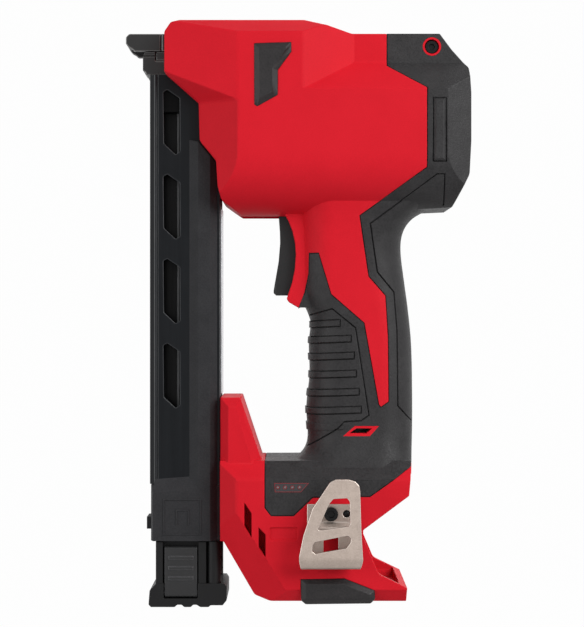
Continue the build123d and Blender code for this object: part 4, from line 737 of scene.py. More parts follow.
@dataclass
class EdgeRoom:
    """Free room beside the edges that are to be rounded, so that no two rounds run into each other.

    Attributes:
        widths: Each edge and the width wished for it, in millimetres.
        step_mm: Distance between the places where room is measured.
        bend_deg: Edges that turn less than this where they meet count as one line.
        share: Part of the room that one round may take.
        curved_deg: Faces that differ by more than this belong to a curved surface.
        graze_deg: A line that strips of a curved surface meet at a flatter angle than this stays sharp.
        least_mm: Narrowest round that is worth making.
    """

    widths: dict[bmesh.types.BMEdge, float]
    step_mm: float = 0.5
    bend_deg: float = 40.0
    share: float = 0.42
    curved_deg: float = 0.3
    graze_deg: float = 32.0
    least_mm: float = 0.04

    def lines(self) -> dict[bmesh.types.BMEdge, int]:
        """Number the lines that edges form with their neighbours.

        Returns:
            Each edge and the number of its line.
        """
        number: dict[bmesh.types.BMEdge, int] = {}
        for first in self.widths:
            if first in number:
                continue
            label, waiting = len(number), [first]
            while waiting:
                edge = waiting.pop()
                if edge in number:
                    continue
                number[edge] = label
                for corner in edge.verts:
                    met = [other for other in corner.link_edges if other in self.widths and other is not edge]
                    if len(met) == 1 and self.turn(edge, met[0], corner) < self.bend_deg:
                        waiting.append(met[0])
        return number

    @staticmethod
    def turn(edge: bmesh.types.BMEdge, other: bmesh.types.BMEdge, corner: bmesh.types.BMVert) -> float:
        """Angle in degrees by which a line turns from one edge to the next at a corner."""
        way_in = corner.co - edge.other_vert(corner).co
        return math.degrees(way_in.angle(other.other_vert(corner).co - corner.co, 0.0))

    def spots(self, edge: bmesh.types.BMEdge) -> list[Vector]:
        """Divide an edge.

        Args:
            edge: The edge.

        Returns:
            Places along it, none of them at its ends.
        """
        count = max(1, math.ceil(edge.calc_length() / (self.step_mm * MM)))
        start, end = (corner.co for corner in edge.verts)
        return [start.lerp(end, (number + 0.5) / count) for number in range(count)]

    def strip_room(self, edge: bmesh.types.BMEdge) -> float:
        """Room that the strips of a curved surface leave beside an edge.

        Args:
            edge: The edge.

        Returns:
            The widest round in millimetres, 0 where a strip runs off along the edge.
        """
        room = math.inf
        for corner in edge.verts:
            along = edge.other_vert(corner).co - corner.co
            for strip in corner.link_edges:
                if strip in self.widths or len(strip.link_faces) != 2:
                    continue
                if math.degrees(strip.calc_face_angle(0.0)) < self.curved_deg:
                    continue
                away = strip.other_vert(corner).co - corner.co
                angle = along.angle(away, 0.0)
                if math.degrees(angle) < self.graze_deg:
                    return 0.0
                room = min(room, away.length / MM * math.sin(angle) * self.share)
        return room

    def fitted(self) -> dict[bmesh.types.BMEdge, float]:
        """Narrow the rounds that have too little room, each line to one width.

        Returns:
            Each edge and the width that fits, in millimetres, without the edges that stay sharp.
        """
        line = self.lines()
        marks = [(edge, spot) for edge in self.widths for spot in self.spots(edge)]
        near = KDTree(len(marks))
        for number, (_, spot) in enumerate(marks):
            near.insert(spot, number)
        near.balance()
        fitted = {edge: min(width, self.strip_room(edge)) for edge, width in self.widths.items()}
        reach = max(self.widths.values(), default=0.0) / self.share * MM
        for edge, spot in marks:
            for _, number, distance in near.find_range(spot, reach):
                other = marks[number][0]
                if line[other] != line[edge] and not set(other.verts) & set(edge.verts):
                    fitted[edge] = min(fitted[edge], distance / MM * self.share)
        least: dict[int, float] = {}
        for edge, width in fitted.items():
            least[line[edge]] = min(width, least.get(line[edge], width))
        return {edge: least[line[edge]] for edge in fitted if least[line[edge]] >= self.least_mm}


@dataclass
class Skin:
    """Copy of a solid with rounded edges, which stands for it.

    Attributes:
        node: The solid.
        finish: Its surface.
        edge_mm: Width of the round on a sharp edge.
        crease_mm: Width of the round where two flat facets meet at a shallow angle.
        crease_deg: Shallowest angle that is rounded. Flatter ones belong to a curved surface.
        sharp_deg: Angle from which an edge counts as sharp.
        edge_finish: Surface of the rounds, where they differ.
        fine: Places with small features.
        grooves: Lines pressed into it.
        sides: Sides that the lines are on.
        follow: Solids whose surface the lines follow, where it isn't this one alone.
        sight: Where given, only edges that can be seen are rounded.
        groove_edge_mm: Width of the round along a pressed line.
        flat_deg: Faces that differ by less than this become one, 0 to leave them.
        rounds: Number of faces across a round.
        line_slot: Material number that marks the walls of a pressed line while the piece is made.
        edge_slot: Material number of the rounds, where they differ.
    """

    line_slot: ClassVar[int] = 1
    edge_slot: ClassVar[int] = 1

    node: str
    finish: Finish
    edge_mm: float = 0.35
    crease_mm: float = 0.35
    crease_deg: float = 14.0
    sharp_deg: float = 36.0
    edge_finish: Finish | None = None
    fine: tuple[FinePlace, ...] = ()
    grooves: tuple[Groove, ...] = ()
    sides: tuple[int, ...] = (LEFT,)
    follow: tuple[str, ...] = ()
    sight: Sight | None = None
    groove_edge_mm: float = 0.1
    flat_deg: float = 0.15
    rounds: int = 3

    def width(self, edge: bmesh.types.BMEdge) -> float:
        """Choose how wide one edge is rounded.

        Args:
            edge: The edge.

        Returns:
            A width in millimetres, 0 for an edge that stays.
        """
        if len(edge.link_faces) != 2:
            return 0.0
        angle = math.degrees(edge.calc_face_angle(0.0))
        if angle < self.crease_deg:
            return 0.0
        middle = (edge.verts[0].co + edge.verts[1].co) / 2
        normal = (edge.link_faces[0].normal + edge.link_faces[1].normal).normalized()
        if self.sight and not self.sight.reaches(middle, normal):
            return 0.0
        if any(face.material_index == self.line_slot for face in edge.link_faces):
            return self.groove_edge_mm
        for place in self.fine:
            if place.holds(middle):
                return place.edge_mm
        return self.edge_mm if angle >= self.sharp_deg else self.crease_mm

    def form(self) -> bmesh.types.BMesh:
        """Copy the solid and press its lines.

        Returns:
            The working mesh. Faces of a pressed line have the second material.
        """
        form = welded(self.node)
        for face in form.faces:
            face.material_index = 0
        if not self.grooves:
            return form
        surface = Surface(self.follow or (self.node,))
        blades = [groove.cutter(surface, side) for side in self.sides for groove in self.grooves]
        # A blade's faces are in its second slot, so the cut leaves that number on the walls of the line
        for blade in blades:
            blade.data.materials.append(GRIP_RUBBER.make())
            blade.data.materials.append(PAD_RUBBER.make())
            for polygon in blade.data.polygons:
                polygon.material_index = self.line_slot
        mesh = pressed(as_mesh(form, self.node + "_plain"), blades)
        form = bmesh.new()
        form.from_mesh(mesh)
        bpy.data.meshes.remove(mesh)
        return form

    def build(self) -> bpy.types.Object:
        """Make the piece.

        Returns:
            The piece, which stands for the solid.
        """
        form = self.form()
        if self.flat_deg:
            bmesh.ops.dissolve_limit(
                form, angle_limit=math.radians(self.flat_deg), verts=form.verts, edges=form.edges,
                delimit={"MATERIAL"},
            )
        weight = form.edges.layers.float.new("bevel_weight_edge")
        wished = {edge: self.width(edge) for edge in form.edges}
        widths = EdgeRoom({edge: width for edge, width in wished.items() if width}).fitted()
        widest = max([*widths.values(), SHARP_MM])
        for edge in form.edges:
            edge[weight] = widths.get(edge, 0.0) / widest
            if edge not in widths and len(edge.link_faces) == 2:
                edge.smooth = math.degrees(edge.calc_face_angle(0.0)) < self.crease_deg
        for face in form.faces:
            face.material_index = 0
        finishes = (self.finish, self.edge_finish) if self.edge_finish else (self.finish,)
        piece = new_piece(self.node + "_form", as_mesh(form, self.node + "_form"), self.node, *finishes)
        edge = piece.modifiers.new("rounded_edges", "BEVEL")
        edge.limit_method = "WEIGHT"
        edge.width = widest * MM
        edge.segments = self.rounds
        edge.use_clamp_overlap = False
        edge.loop_slide = False
        edge.harden_normals = True
        edge.miter_outer = "MITER_ARC"
        edge.material = self.edge_slot if self.edge_finish else -1
        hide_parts(self.node)
        return piece


@dataclass(frozen=True)
class Lamp:
    """Square soft box that faces the tool.

    Attributes:
        name: Its name.
        place_mm: Where it hangs.
        size_mm: Length of its side.
        watts: Its power.
    """

    name: str
    place_mm: Point3
    size_mm: float
    watts: float

    def hang(self, aim: Vector) -> None:
        """Put the lamp into the scene.

        Args:
            aim: The point that it faces.
        """
        data = bpy.data.lights.new(self.name, "AREA")
        data.size = self.size_mm * MM
        data.energy = self.watts
        lamp = bpy.data.objects.new(self.name, data)
        lamp.location = Vector(self.place_mm) * MM
        lamp.rotation_euler = (aim - lamp.location).to_track_quat("-Z", "Y").to_euler()
        bpy.context.scene.collection.objects.link(lamp)


@dataclass
class Studio:
    """White studio with soft light and the photograph's camera.

    Attributes:
        aim_x_mm: Middle of the picture along the tool.
        aim_z_mm: Middle of the picture in height.
        distance_mm: From the camera to the tool's middle plane.
        picture_height_mm: Height of the picture in that plane.
        sensor_mm: The camera's sensor.
        paper_mm: Width and length of the paper.
        paper_drop_mm: How far it lies below the tool, so that the drawn slide clears it.
        paper_bend_mm: Radius with which it bends up at the back.
        paper_steps: Number of faces in the bend.
        paper_glow: Part of the paper's look that is plain white, the rest takes light and shadow.
        paper_colour: Colour of that rest, sRGB hex.
        room_light: Strength of the light from all round.
        lamps: The soft boxes.
    """

    aim_x_mm: float = 41.0
    aim_z_mm: float = 115.2
    distance_mm: float = 750.0
    picture_height_mm: float = 250.8
    sensor_mm: float = 36.0
    paper_mm: float = 6000.0
    paper_drop_mm: float = 175.0
    paper_bend_mm: float = 900.0
    paper_steps: int = 16
    paper_glow: float = 0.985
    paper_colour: str = "#BABABA"
    room_light: float = 0.26
    lamps: tuple[Lamp, ...] = (
        Lamp("key_light", (680.0, -650.0, 540.0), 700.0, 8.7),
        Lamp("fill_light", (-840.0, -560.0, 240.0), 700.0, 3.6),
        Lamp("rim_light", (420.0, 700.0, 760.0), 800.0, 4.2),
    )

    def camera(self) -> None:
        """Look square on at the left side, with the photograph's frame."""
        data = bpy.data.cameras.new("camera")
        data.sensor_width = self.sensor_mm
        data.lens = self.sensor_mm * self.distance_mm / self.picture_height_mm
        camera = bpy.data.objects.new("camera", data)
        camera.location = Vector((self.aim_x_mm, -self.distance_mm, self.aim_z_mm)) * MM
        camera.rotation_euler = (math.pi / 2, 0.0, 0.0)
        bpy.context.scene.collection.objects.link(camera)
        bpy.context.scene.camera = camera

    def build(self) -> None:
        """Make the camera, the light and the paper sweep."""
        self.camera()
        self.world()
        self.paper()
        for lamp in self.lamps:
            lamp.hang(Vector((self.aim_x_mm, 0.0, self.aim_z_mm)) * MM)
        bpy.context.scene.view_settings.view_transform = "Standard"

    @staticmethod
    def seen(tree: bpy.types.NodeTree) -> bpy.types.NodeSocket:
        """Tell a direct look, a look through glass or a reflection from plain lighting.

        Args:
            tree: The node tree to add to.

        Returns:
            An output that is 1 for those rays and 0 for all others.
        """
        path = add_node(tree, "ShaderNodeLightPath")
        looked = add_node(
            tree, "ShaderNodeMath",
            {0: path.outputs["Is Camera Ray"], 1: path.outputs["Is Transmission Ray"]}, operation="MAXIMUM",
        )
        either = add_node(
            tree, "ShaderNodeMath",
            {0: looked.outputs[0], 1: path.outputs["Is Glossy Ray"]}, operation="MAXIMUM",
        )
        return either.outputs[0]

    def world(self) -> None:
        """Even pale surroundings, pure white where the camera or a reflection sees them."""
        world = bpy.data.worlds.new("white_room")
        world.use_nodes = True
        tree = world.node_tree
        tree.nodes.clear()
        strength = add_node(
            tree, "ShaderNodeMapRange", {"Value": self.seen(tree), "To Min": self.room_light, "To Max": 1.0}
        )
        light = add_node(
            tree, "ShaderNodeBackground", {"Color": linear("#FFFFFF"), "Strength": strength.outputs["Result"]}
        )
        add_node(tree, "ShaderNodeOutputWorld", {"Surface": light.outputs["Background"]})
        bpy.context.scene.world = world

    def paper(self) -> None:
        """White paper that bends up behind the tool, keeps a soft shadow and clears the drawn slide."""
        half = self.paper_mm / 2
        bend, floor = self.paper_bend_mm, -self.paper_drop_mm
        turns = [math.pi / 2 * step / self.paper_steps for step in range(self.paper_steps + 1)]
        profile = [(-half, floor)]
        profile += [
            (half - bend + bend * math.sin(turn), floor + bend - bend * math.cos(turn)) for turn in turns
        ]
        profile += [(half, half)]
        corners = [(x * MM, y * MM, z * MM) for y, z in profile for x in (-half, half)]
        faces = [(2 * n, 2 * n + 1, 2 * n + 3, 2 * n + 2) for n in range(len(profile) - 1)]
        mesh = bpy.data.meshes.new("paper")
        mesh.from_pydata(corners, [], faces)
        mesh.polygons.foreach_set("use_smooth", [True] * len(faces))
        paper = bpy.data.objects.new("paper", mesh)
        bpy.context.scene.collection.objects.link(paper)
        material, tree = blank_material("white_paper")
        matt = add_node(tree, "ShaderNodeBsdfDiffuse", {"Color": linear(self.paper_colour)})
        glow = add_node(tree, "ShaderNodeEmission", {"Color": linear("#FFFFFF"), "Strength": 1.0})
        share = add_node(
            tree, "ShaderNodeMath", {0: self.seen(tree), 1: self.paper_glow}, operation="MULTIPLY"
        )
        mixed = add_node(
            tree, "ShaderNodeMixShader",
            {0: share.outputs[0], 1: matt.outputs["BSDF"], 2: glow.outputs["Emission"]},
        )
        add_node(tree, "ShaderNodeOutputMaterial", {"Surface": mixed.outputs["Shader"]})
        mesh.materials.append(material)


@dataclass
class Plain:
    """Solids inside the tool whose shape is right and that only need a finish.

    Attributes:
        finish: Their surface.
        nodes: The solids.
    """

    finish: Finish
    nodes: tuple[str, ...]

    def dress(self) -> None:
        """Coat each solid."""
        for name in self.nodes:
            coat(frame["nodes"][name], self.finish)
            log.info("%s in %s", name, self.finish.name)


@dataclass
class PressSpring:
    """Wire spring that a sliding piece presses together towards its rear end.

    Attributes:
        node: The spring's solid.
        joint: The slide that presses it. Not used.
    """

    node: str
    joint: str

    def build(self) -> None:
        """Copy the coil."""
        name = self.node + "_form"
        piece = new_piece(name, as_mesh(welded(self.node), name), self.node, SPRING_WIRE)
        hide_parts(self.node)
        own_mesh(piece)


@dataclass
class Housing:
    """Red shell halves, their black overmoulds, the rubber pads and the case screws.

    Attributes:
        sight: What can be seen from outside.
        edge_mm: Round on the moulded edges.
        crease_mm: Round between the shell's facets.
        pad_edge_mm: Round on the rubber pads.
        crease_deg: Shallowest angle between facets that is rounded.
        sharp_deg: Angle from which an edge counts as sharp.
        screw_edge_mm: Round on the screws.
        small_places: Screw rim, slot, gauge seat, drum rib and vents, where edges are close together.
        grip_line: Line round the ribbed grip, (x, z).
        back_line: Line along the handle's back and up to the drum.
        body_seam: Seam between shell and overmould, from the top of the body down to the trigger, just
            inside the rubber.
        base_seam: The same seam round the base.
        seam_mm: Width and depth of the seams.
        drum_line: Line round the rib on the drum.
        drum_line_mm: Its width and depth.
        rib_ends: Rear end of each grip rib, in the middle of its height.
        rib_front_x_mm: Where the ribs come round from the front.
        rib_half_mm: Half a rib's height.
        rib_drop_mm: How far a rib drops towards the front.
        rib_gap_mm: Distance from a rib to the middle of the line round it.
        rib_clear_mm: How far the blade of that line stands out, higher than a rib.
        rib_line_mm: Width and depth of that line.
    """

    sight: Sight
    edge_mm: float = 0.35
    crease_mm: float = 1.0
    pad_edge_mm: float = 0.45
    crease_deg: float = 12.0
    sharp_deg: float = 46.0
    screw_edge_mm: float = 0.15
    small_places: tuple[FinePlace, ...] = (
        FinePlace((91.0, 214.6), (99.8, 223.4), 0.12), FinePlace((60.0, 66.5), (76.0, 72.2), 0.15),
        FinePlace((33.0, 45.2), (48.5, 50.9), 0.12), FinePlace((94.5, 172.8), (100.8, 198.9), 0.2),
        FinePlace((21.6, 27.7), (26.4, 43.3), 0.15), FinePlace((27.1, 20.1), (31.8, 33.7), 0.15),
        FinePlace((38.0, 68.0), (66.0, 114.0), 0.15), FinePlace((26.0, 194.0), (41.2, 219.9), 0.5),
    )
    grip_line: tuple[Point2, ...] = (
        (45.5, 113.9), (56.7, 117.0), (65.8, 109.6), (71.0, 75.5), (67.9, 73.3), (61.4, 73.0), (58.6, 70.1),
        (46.5, 62.8),
    )
    back_line: tuple[Point2, ...] = (
        (99.9, 157.5), (99.7, 168.8), (96.8, 168.8), (71.5, 150.2), (74.3, 131.4), (80.9, 123.6),
        (82.1, 108.3), (82.4, 79.1), (86.0, 75.2), (89.5, 72.0),
    )
    body_seam: tuple[Point2, ...] = (
        (77.95, 223.0), (77.95, 211.38), (92.95, 202.18), (92.95, 171.42), (67.36, 153.33), (70.94, 129.67),
        (77.55, 122.16), (78.55, 105.51), (78.75, 80.82), (75.67, 78.7), (74.86, 79.74), (69.16, 111.52),
        (56.27, 122.72), (51.39, 138.85), (47.75, 138.85), (47.55, 130.78), (46.05, 123.47),
    )
    base_seam: tuple[Point2, ...] = (
        (30.55, 56.0), (30.55, 40.25), (32.97, 37.15), (41.64, 37.15), (49.04, 44.25), (71.15, 44.55),
        (84.91, 54.42),
    )
    seam_mm: float = 0.5
    drum_line: tuple[Point2, ...] = ((95.2, 173.6), (100.2, 173.6), (100.2, 198.1), (95.2, 198.1))
    drum_line_mm: Point2 = (0.6, 0.5)
    rib_ends: tuple[Point2, ...] = (
        (59.7, 111.5), (64.0, 105.4), (65.2, 98.8), (66.0, 91.8), (67.1, 84.7), (67.9, 77.7),
    )
    rib_front_x_mm: float = 42.0
    rib_half_mm: float = 1.3
    rib_drop_mm: float = 0.95
    rib_gap_mm: float = 0.1
    rib_clear_mm: float = 0.8
    rib_line_mm: Point2 = (0.4, 0.5)

    def rib_lines(self) -> tuple[Groove, ...]:
        """Lay out the lines that set off the grip's ribs.

        Returns:
            One line for each rib, open towards the front.
        """
        front, half, drop = self.rib_front_x_mm, self.rib_half_mm + self.rib_gap_mm, self.rib_drop_mm
        wide, deep = self.rib_line_mm
        ends = [(x + self.rib_gap_mm, z) for x, z in self.rib_ends]
        return tuple(
            Groove(
                ((front, z - half - drop), (x, z - half), (x, z + half), (front, z + half - drop)),
                wide_mm=wide, deep_mm=deep, proud_mm=self.rib_clear_mm,
            )
            for x, z in ends
        )

    def overmould(self, side: int) -> None:
        """Make the black skin of one side with its pressed lines.

        Args:
            side: LEFT or RIGHT.
        """
        name = SIDE_NAMES[side]
        node = f"overmould_{name}"
        wide, deep = self.drum_line_mm
        drum = Groove(self.drum_line, wide_mm=wide, deep_mm=deep, closed=True)
        seams = tuple(
            Groove(seam, wide_mm=self.seam_mm, deep_mm=self.seam_mm)
            for seam in (self.body_seam, self.base_seam)
        )
        Skin(
            node, GRIP_RUBBER, self.edge_mm, self.crease_mm, self.crease_deg, self.sharp_deg,
            fine=self.small_places, sight=self.sight, sides=(side,), follow=(node, f"housing_{name}"),
            grooves=(Groove(self.grip_line), Groove(self.back_line), drum, *seams, *self.rib_lines()),
        ).build()

    def build(self) -> None:
        """Make both sides."""
        for side, name in SIDE_NAMES.items():
            Skin(
                f"housing_{name}", RED_NYLON, self.edge_mm, self.crease_mm, self.crease_deg, self.sharp_deg,
                fine=self.small_places, sight=self.sight,
            ).build()
            self.overmould(side)
            for pad in ("body_pad", "foot_pad"):
                Skin(f"{pad}_{name}", PAD_RUBBER, self.pad_edge_mm, self.pad_edge_mm).build()
        for name in ("rear", "neck", "base"):
            edge = self.screw_edge_mm
            Skin(f"case_screw_{name}", BLACK_OXIDE, edge, edge, crease_deg=SCREW_DEG).build()


@dataclass
class ChargeGauge:
    """Smoked window on the base with a thin rim and four lamps.

    Attributes:
        face_y_mm: Outer face of the window.
        outline: Its outline, (x, z), clockwise.
        rim_mm: Width of the rim.
        proud_mm: How far rim and lamp sleeves stand out.
        seat_mm: How deep they are set in.
        lamp_mm: Middle of the first lamp.
        pitch_mm: Distance from lamp to lamp.
        count: Number of lamps.
        sleeve_mm: Inner and outer radius of a lamp's sleeve.
        sleeve_bevel_mm: Bevel at its rim.
        dome_mm: How far the middle of a lamp stands out, and how far its edge lies back.
        dome_share: Part of its radius where the dome begins to drop.
        edge_mm: Round on the window's edges.
    """

    face_y_mm: float = -27.0
    outline: tuple[Point2, ...] = ((34.1, 49.8), (47.5, 49.8), (44.5, 46.3), (34.4, 46.3))
    rim_mm: float = 0.22
    proud_mm: float = 0.05
    seat_mm: float = 0.3
    lamp_mm: Point2 = (35.5, 48.1)
    pitch_mm: float = 2.8
    count: int = 4
    sleeve_mm: Point2 = (0.5, 0.75)
    sleeve_bevel_mm: float = 0.06
    dome_mm: Point2 = (0.02, 0.12)
    dome_share: float = 0.6
    edge_mm: float = 0.12

    def rim(self) -> bpy.types.Mesh:
        """Make the rim along the inside of the outline.

        Returns:
            A closed mesh.
        """
        corners = [Vector(corner) for corner in self.outline]
        depths = (self.face_y_mm + self.seat_mm, self.face_y_mm - self.proud_mm)
        form = bmesh.new()
        rows = []
        for number, corner in enumerate(corners):
            before = (corner - corners[number - 1]).normalized()
            after = (corners[(number + 1) % len(corners)] - corner).normalized()
            inward = Vector((before.y + after.y, -before.x - after.x)).normalized()
            inner = corner + inward * self.rim_mm / inward.dot(Vector((before.y, -before.x)))
            places = [(corner, depths[0]), (corner, depths[1]), (inner, depths[1]), (inner, depths[0])]
            rows.append([form.verts.new(Vector((spot.x, y, spot.y)) * MM) for spot, y in places])
        tube(form, rows, closed=True)
        bmesh.ops.recalc_face_normals(form, faces=form.faces)
        return as_mesh(form, "gauge_rim", smooth=False)

    def build(self) -> None:
        """Make the window, its rim and the lamps."""
        node = "gauge_window"
        Skin(node, SMOKED_LENS, self.edge_mm, self.edge_mm).build()
        new_piece("gauge_rim", self.rim(), node, LAMP_SLEEVE)
        inner, outer = self.sleeve_mm
        face, back, front = self.face_y_mm, self.face_y_mm + self.seat_mm, self.face_y_mm - self.proud_mm
        bevel = self.sleeve_bevel_mm
        sleeve = [(inner, back), (inner, face), (inner + bevel, front), (outer - bevel, front), (outer, face)]
        crown, drop = self.dome_mm
        guide = [(0.0, face - crown), (inner * self.dome_share, face), (inner, face + drop), (inner, back)]
        for number in range(self.count):
            place = (self.lamp_mm[0] + number * self.pitch_mm, self.lamp_mm[1])
            rings = turned([*sleeve, (outer, back)], place, closed=True)
            new_piece(f"lamp_sleeve_{number + 1}", as_mesh(rings, "lamp_sleeve"), node, LAMP_SLEEVE)
            dome = turned(guide, place, closed=False)
            new_piece(f"lamp_guide_{number + 1}", as_mesh(dome, "lamp_guide"), node, LIGHT_GUIDE)


@dataclass
class TriggerGroup:
    """Trigger with its moulded switch.

    Attributes:
        edge_mm: Round on the trigger's edges.
    """

    edge_mm: float = 0.4

    def build(self) -> None:
        """Round the trigger and dress the switch."""
        Skin("trigger", TRIGGER_NYLON, self.edge_mm, self.edge_mm, CURVED_DEG, flat_deg=0.0).build()
        Plain(BLACK_NYLON, ("trigger_switch",)).dress()


@dataclass
class BeltHook:
    """Bent sheet hook, its screw, the threaded inserts, and a black plug in a hole of the housing that paints
    the shade in that hole.

    Attributes:
        edge_mm: Round on the sheared edges.
        screw_edge_mm: Round on the screw.
        shade_plug_mm: Place of the black plug that paints the shade in the hole, (x, z).
        shade_plug_radius_mm: Its radius.
        shade_plug_y_mm: The face that it stands on, and its tip.
        shade_plug_bevel_mm: Bevel at its tip.
    """

    edge_mm: float = 0.25
    screw_edge_mm: float = 0.2
    shade_plug_mm: Point2 = (62.0, 38.1)
    shade_plug_radius_mm: float = 1.3
    shade_plug_y_mm: Point2 = (-26.8, -28.0)
    shade_plug_bevel_mm: float = 0.2

    def build(self) -> None:
        """Make the hook and what holds it, and the black plug of painted shade."""
        Skin(
            "belt_hook", PLATED_SHEET, self.edge_mm, self.edge_mm, CURVED_DEG, edge_finish=SHEARED_EDGE,
            flat_deg=0.0,
        ).build()
        Skin("belt_hook_screw", BLACK_OXIDE, self.screw_edge_mm, self.screw_edge_mm, SCREW_DEG).build()
        # A black plug set in the hole beside the hook paints the shade inside that hole
        foot, tip = self.shade_plug_y_mm
        radius, bevel = self.shade_plug_radius_mm, self.shade_plug_bevel_mm
        profile = [(0.0, tip), (radius - bevel, tip), (radius, tip + bevel), (radius, foot), (0.0, foot)]
        shade_plug = turned(profile, self.shade_plug_mm, closed=False)
        new_piece("hook_hole_shade_plug", as_mesh(shade_plug, "hook_hole_shade_plug"), "housing_left", BLACK_OXIDE)
        Plain(BRASS, ("hook_insert_left", "hook_insert_right")).dress()


@dataclass
class Nose:
    """Nose frame and the contact that is pressed on the wall.

    Attributes:
        edge_mm: Round on their edges.
        frame_lines: Joint lines on the frame's sides, (x, z).
        contact_lines: Joint lines on the contact's sides.
        line_mm: Width and depth of these lines.
    """

    edge_mm: float = 0.4
    frame_lines: tuple[tuple[Point2, ...], ...] = (
        ((-18.2, 216.7), (-13.1, 216.7)), ((-12.7, 218.0), (-12.7, 214.9), (-8.6, 214.9)),
    )
    contact_lines: tuple[tuple[Point2, ...], ...] = (((-10.6, 225.0), (-10.6, 219.2)),)
    line_mm: Point2 = (0.7, 0.6)

    def build(self) -> None:
        """Make both steel pieces and the spring behind the contact."""
        wide, deep = self.line_mm
        for node, lines in (("nose_frame", self.frame_lines), ("work_contact", self.contact_lines)):
            # Their rounds take a paler finish: wear and a painted highlight along the edges
            Skin(
                node, PHOSPHATED, self.edge_mm, self.edge_mm, edge_finish=WORN_AND_HIGHLIT_EDGE, flat_deg=0.0,
                sides=(LEFT, RIGHT),
                grooves=tuple(Groove(line, wide_mm=wide, deep_mm=deep) for line in lines),
            ).build()
        PressSpring("contact_spring", "contact_press").build()


@dataclass
class Magazine:
    """Extruded magazine with the bright strip on its back and the moulded cover at its foot.

    Attributes:
        body_edge_mm: Round on the extrusion's edges.
        strip_edge_mm: Round on the strip.
        cover_edge_mm: Round on the cover's facets.
    """

    body_edge_mm: float = 0.3
    strip_edge_mm: float = 0.15
    cover_edge_mm: float = 0.12

    def build(self) -> None:
        """Make the three pieces."""
        # The rounds take a paler finish: thin anodising and a painted highlight along the edges
        Skin(
            "magazine_body", ANODISED, self.body_edge_mm, self.body_edge_mm, edge_finish=THIN_AND_HIGHLIT_ANODISED_EDGE,
            flat_deg=0.0,
        ).build()
        Skin("magazine_strip", BRIGHT_STEEL, self.strip_edge_mm, self.strip_edge_mm).build()
        Skin("magazine_cover", COVER_NYLON, self.cover_edge_mm, self.cover_edge_mm, flat_deg=0.0).build()


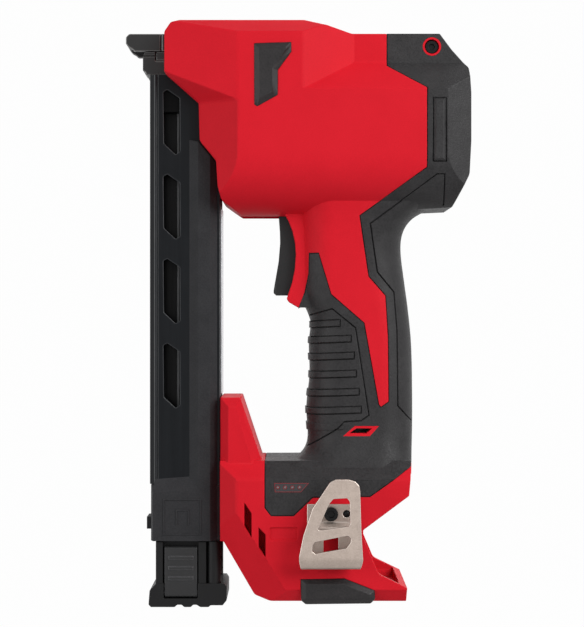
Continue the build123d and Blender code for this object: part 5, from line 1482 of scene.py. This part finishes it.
@dataclass
class MagazineSlide:
    """End piece with its latches, and the track that carries the staples.

    Attributes:
        edge_mm: Round on the moulded edges.
        track_edge_mm: Round on the track.
        highlight_x_mm: Middle of the pale strip on the track, a painted highlight where the track would
            gleam.
        highlight_half_mm: Half its width at the foot and at the top.
        highlight_proud_mm: How far it stands out.
        track_half_mm: Half the track's width.
        highlight_z_mm: Its ends.
    """

    edge_mm: float = 0.3
    track_edge_mm: float = 0.4
    highlight_x_mm: float = -4.2
    highlight_half_mm: Point2 = (0.45, 0.3)
    highlight_proud_mm: float = 0.14
    track_half_mm: float = 5.4
    highlight_z_mm: Point2 = (50.0, 204.0)

    def highlight_strip(self, side: int) -> bmesh.types.BMesh:
        """Make the pale strip of one side, a painted highlight.

        Args:
            side: LEFT or RIGHT.

        Returns:
            A closed mesh, set a little into the track.
        """
        foot, top = self.highlight_half_mm
        deep, out = self.track_half_mm - self.highlight_proud_mm, self.track_half_mm + self.highlight_proud_mm
        section = [(-foot, deep), (-foot, self.track_half_mm), (-top, out), (top, out)]
        section += [(foot, self.track_half_mm), (foot, deep)]
        form = bmesh.new()
        ends = [
            [form.verts.new(Vector((self.highlight_x_mm + x, side * y, z)) * MM) for x, y in section]
            for z in self.highlight_z_mm
        ]
        tube(form, ends, closed=False)
        bmesh.ops.recalc_face_normals(form, faces=form.faces)
        return form

    def build(self) -> None:
        """Make the slide and its latches."""
        Skin("slide_end", END_NYLON, self.edge_mm, self.edge_mm, CURVED_DEG).build()
        # The track's near-black finish paints the shade inside the magazine
        Skin("slide_track", SHADED_TRACK_STEEL, self.track_edge_mm, self.track_edge_mm).build()
        # The follower's near-black finish paints the shade inside the magazine
        Skin("staple_follower", SHADED_FOLLOWER_NYLON, self.edge_mm, self.edge_mm).build()
        Plain(SPRING_WIRE, ("follower_spring",)).dress()
        for side, name in SIDE_NAMES.items():
            # The latches' rounds are paler: thumb wear and a painted highlight along the ribs
            Skin(
                f"latch_{name}", BLACK_NYLON, self.edge_mm, self.edge_mm, CURVED_DEG,
                edge_finish=RUBBED_AND_HIGHLIT_NYLON, flat_deg=0.0,
            ).build()
            # A pale strip on each side of the track paints its highlight, seen through the windows
            strip = as_mesh(self.highlight_strip(side), "track_painted_highlight", smooth=False)
            new_piece(f"track_painted_highlight_{name}", strip, "slide_track", TRACK_HIGHLIGHT_STEEL)


@dataclass
class BatteryBay:
    """Terminal block with its contacts, and the control board above the bay.

    Attributes:
        edge_mm: Round on the block's edges.
        contact_edge_mm: Round on the contacts.
    """

    edge_mm: float = 0.3
    contact_edge_mm: float = 0.15

    def build(self) -> None:
        """Make the block and its contacts, and dress the board."""
        Skin("terminal_block", BLACK_NYLON, self.edge_mm, self.edge_mm, flat_deg=0.0).build()
        for name in ("positive", "negative"):
            Skin(f"terminal_{name}", TINNED_COPPER, self.contact_edge_mm, self.contact_edge_mm).build()
        Plain(SOLDER_MASK, ("control_board",)).dress()


@dataclass
class Drive:
    """Motor, gears, lifter and spring-driven blade inside the body.

    Attributes:
        groups: The solids by finish.
    """

    groups: tuple[Plain, ...] = (
        Plain(
            GROUND_STEEL,
            ("front_plate", "rear_plate", "driver_blade", "guide_rod_left", "guide_rod_right"),
        ),
        Plain(PAD_RUBBER, ("bumper",)),
        Plain(
            GEAR_STEEL,
            (
                "rack", "lifter_shaft", "lifter_gear", "mid_shaft", "bevel_gear", "bevel_pinion",
                "planet_carrier", "planet_gear_1", "planet_gear_2", "planet_gear_3", "sun_gear", "ring_gear",
            ),
        ),
        Plain(CAST_ALUMINIUM, ("carriage", "drive_frame")),
        Plain(ZINC_PLATE, ("motor_can", "motor_rotor", "motor_stator")),
        Plain(BLACK_NYLON, ("motor_end_cap",)),
    )

    def build(self) -> None:
        """Dress every solid of the drive and make its springs."""
        for group in self.groups:
            group.dress()
        for name in SIDE_NAMES.values():
            PressSpring(f"drive_spring_{name}", "driver_draw").build()


def main() -> None:
    """Build the studio, then the tool group by group, and log each group."""
    logging.basicConfig(level=logging.INFO, format="%(message)s")
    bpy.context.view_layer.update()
    Studio().build()
    Housing(Sight()).build()
    groups = (
        ChargeGauge(), TriggerGroup(), BeltHook(), Nose(), Magazine(), MagazineSlide(), BatteryBay(), Drive(),
    )
    for group in groups:
        group.build()
        log.info("%s built", type(group).__name__)


if __name__ == "__main__":
    main()
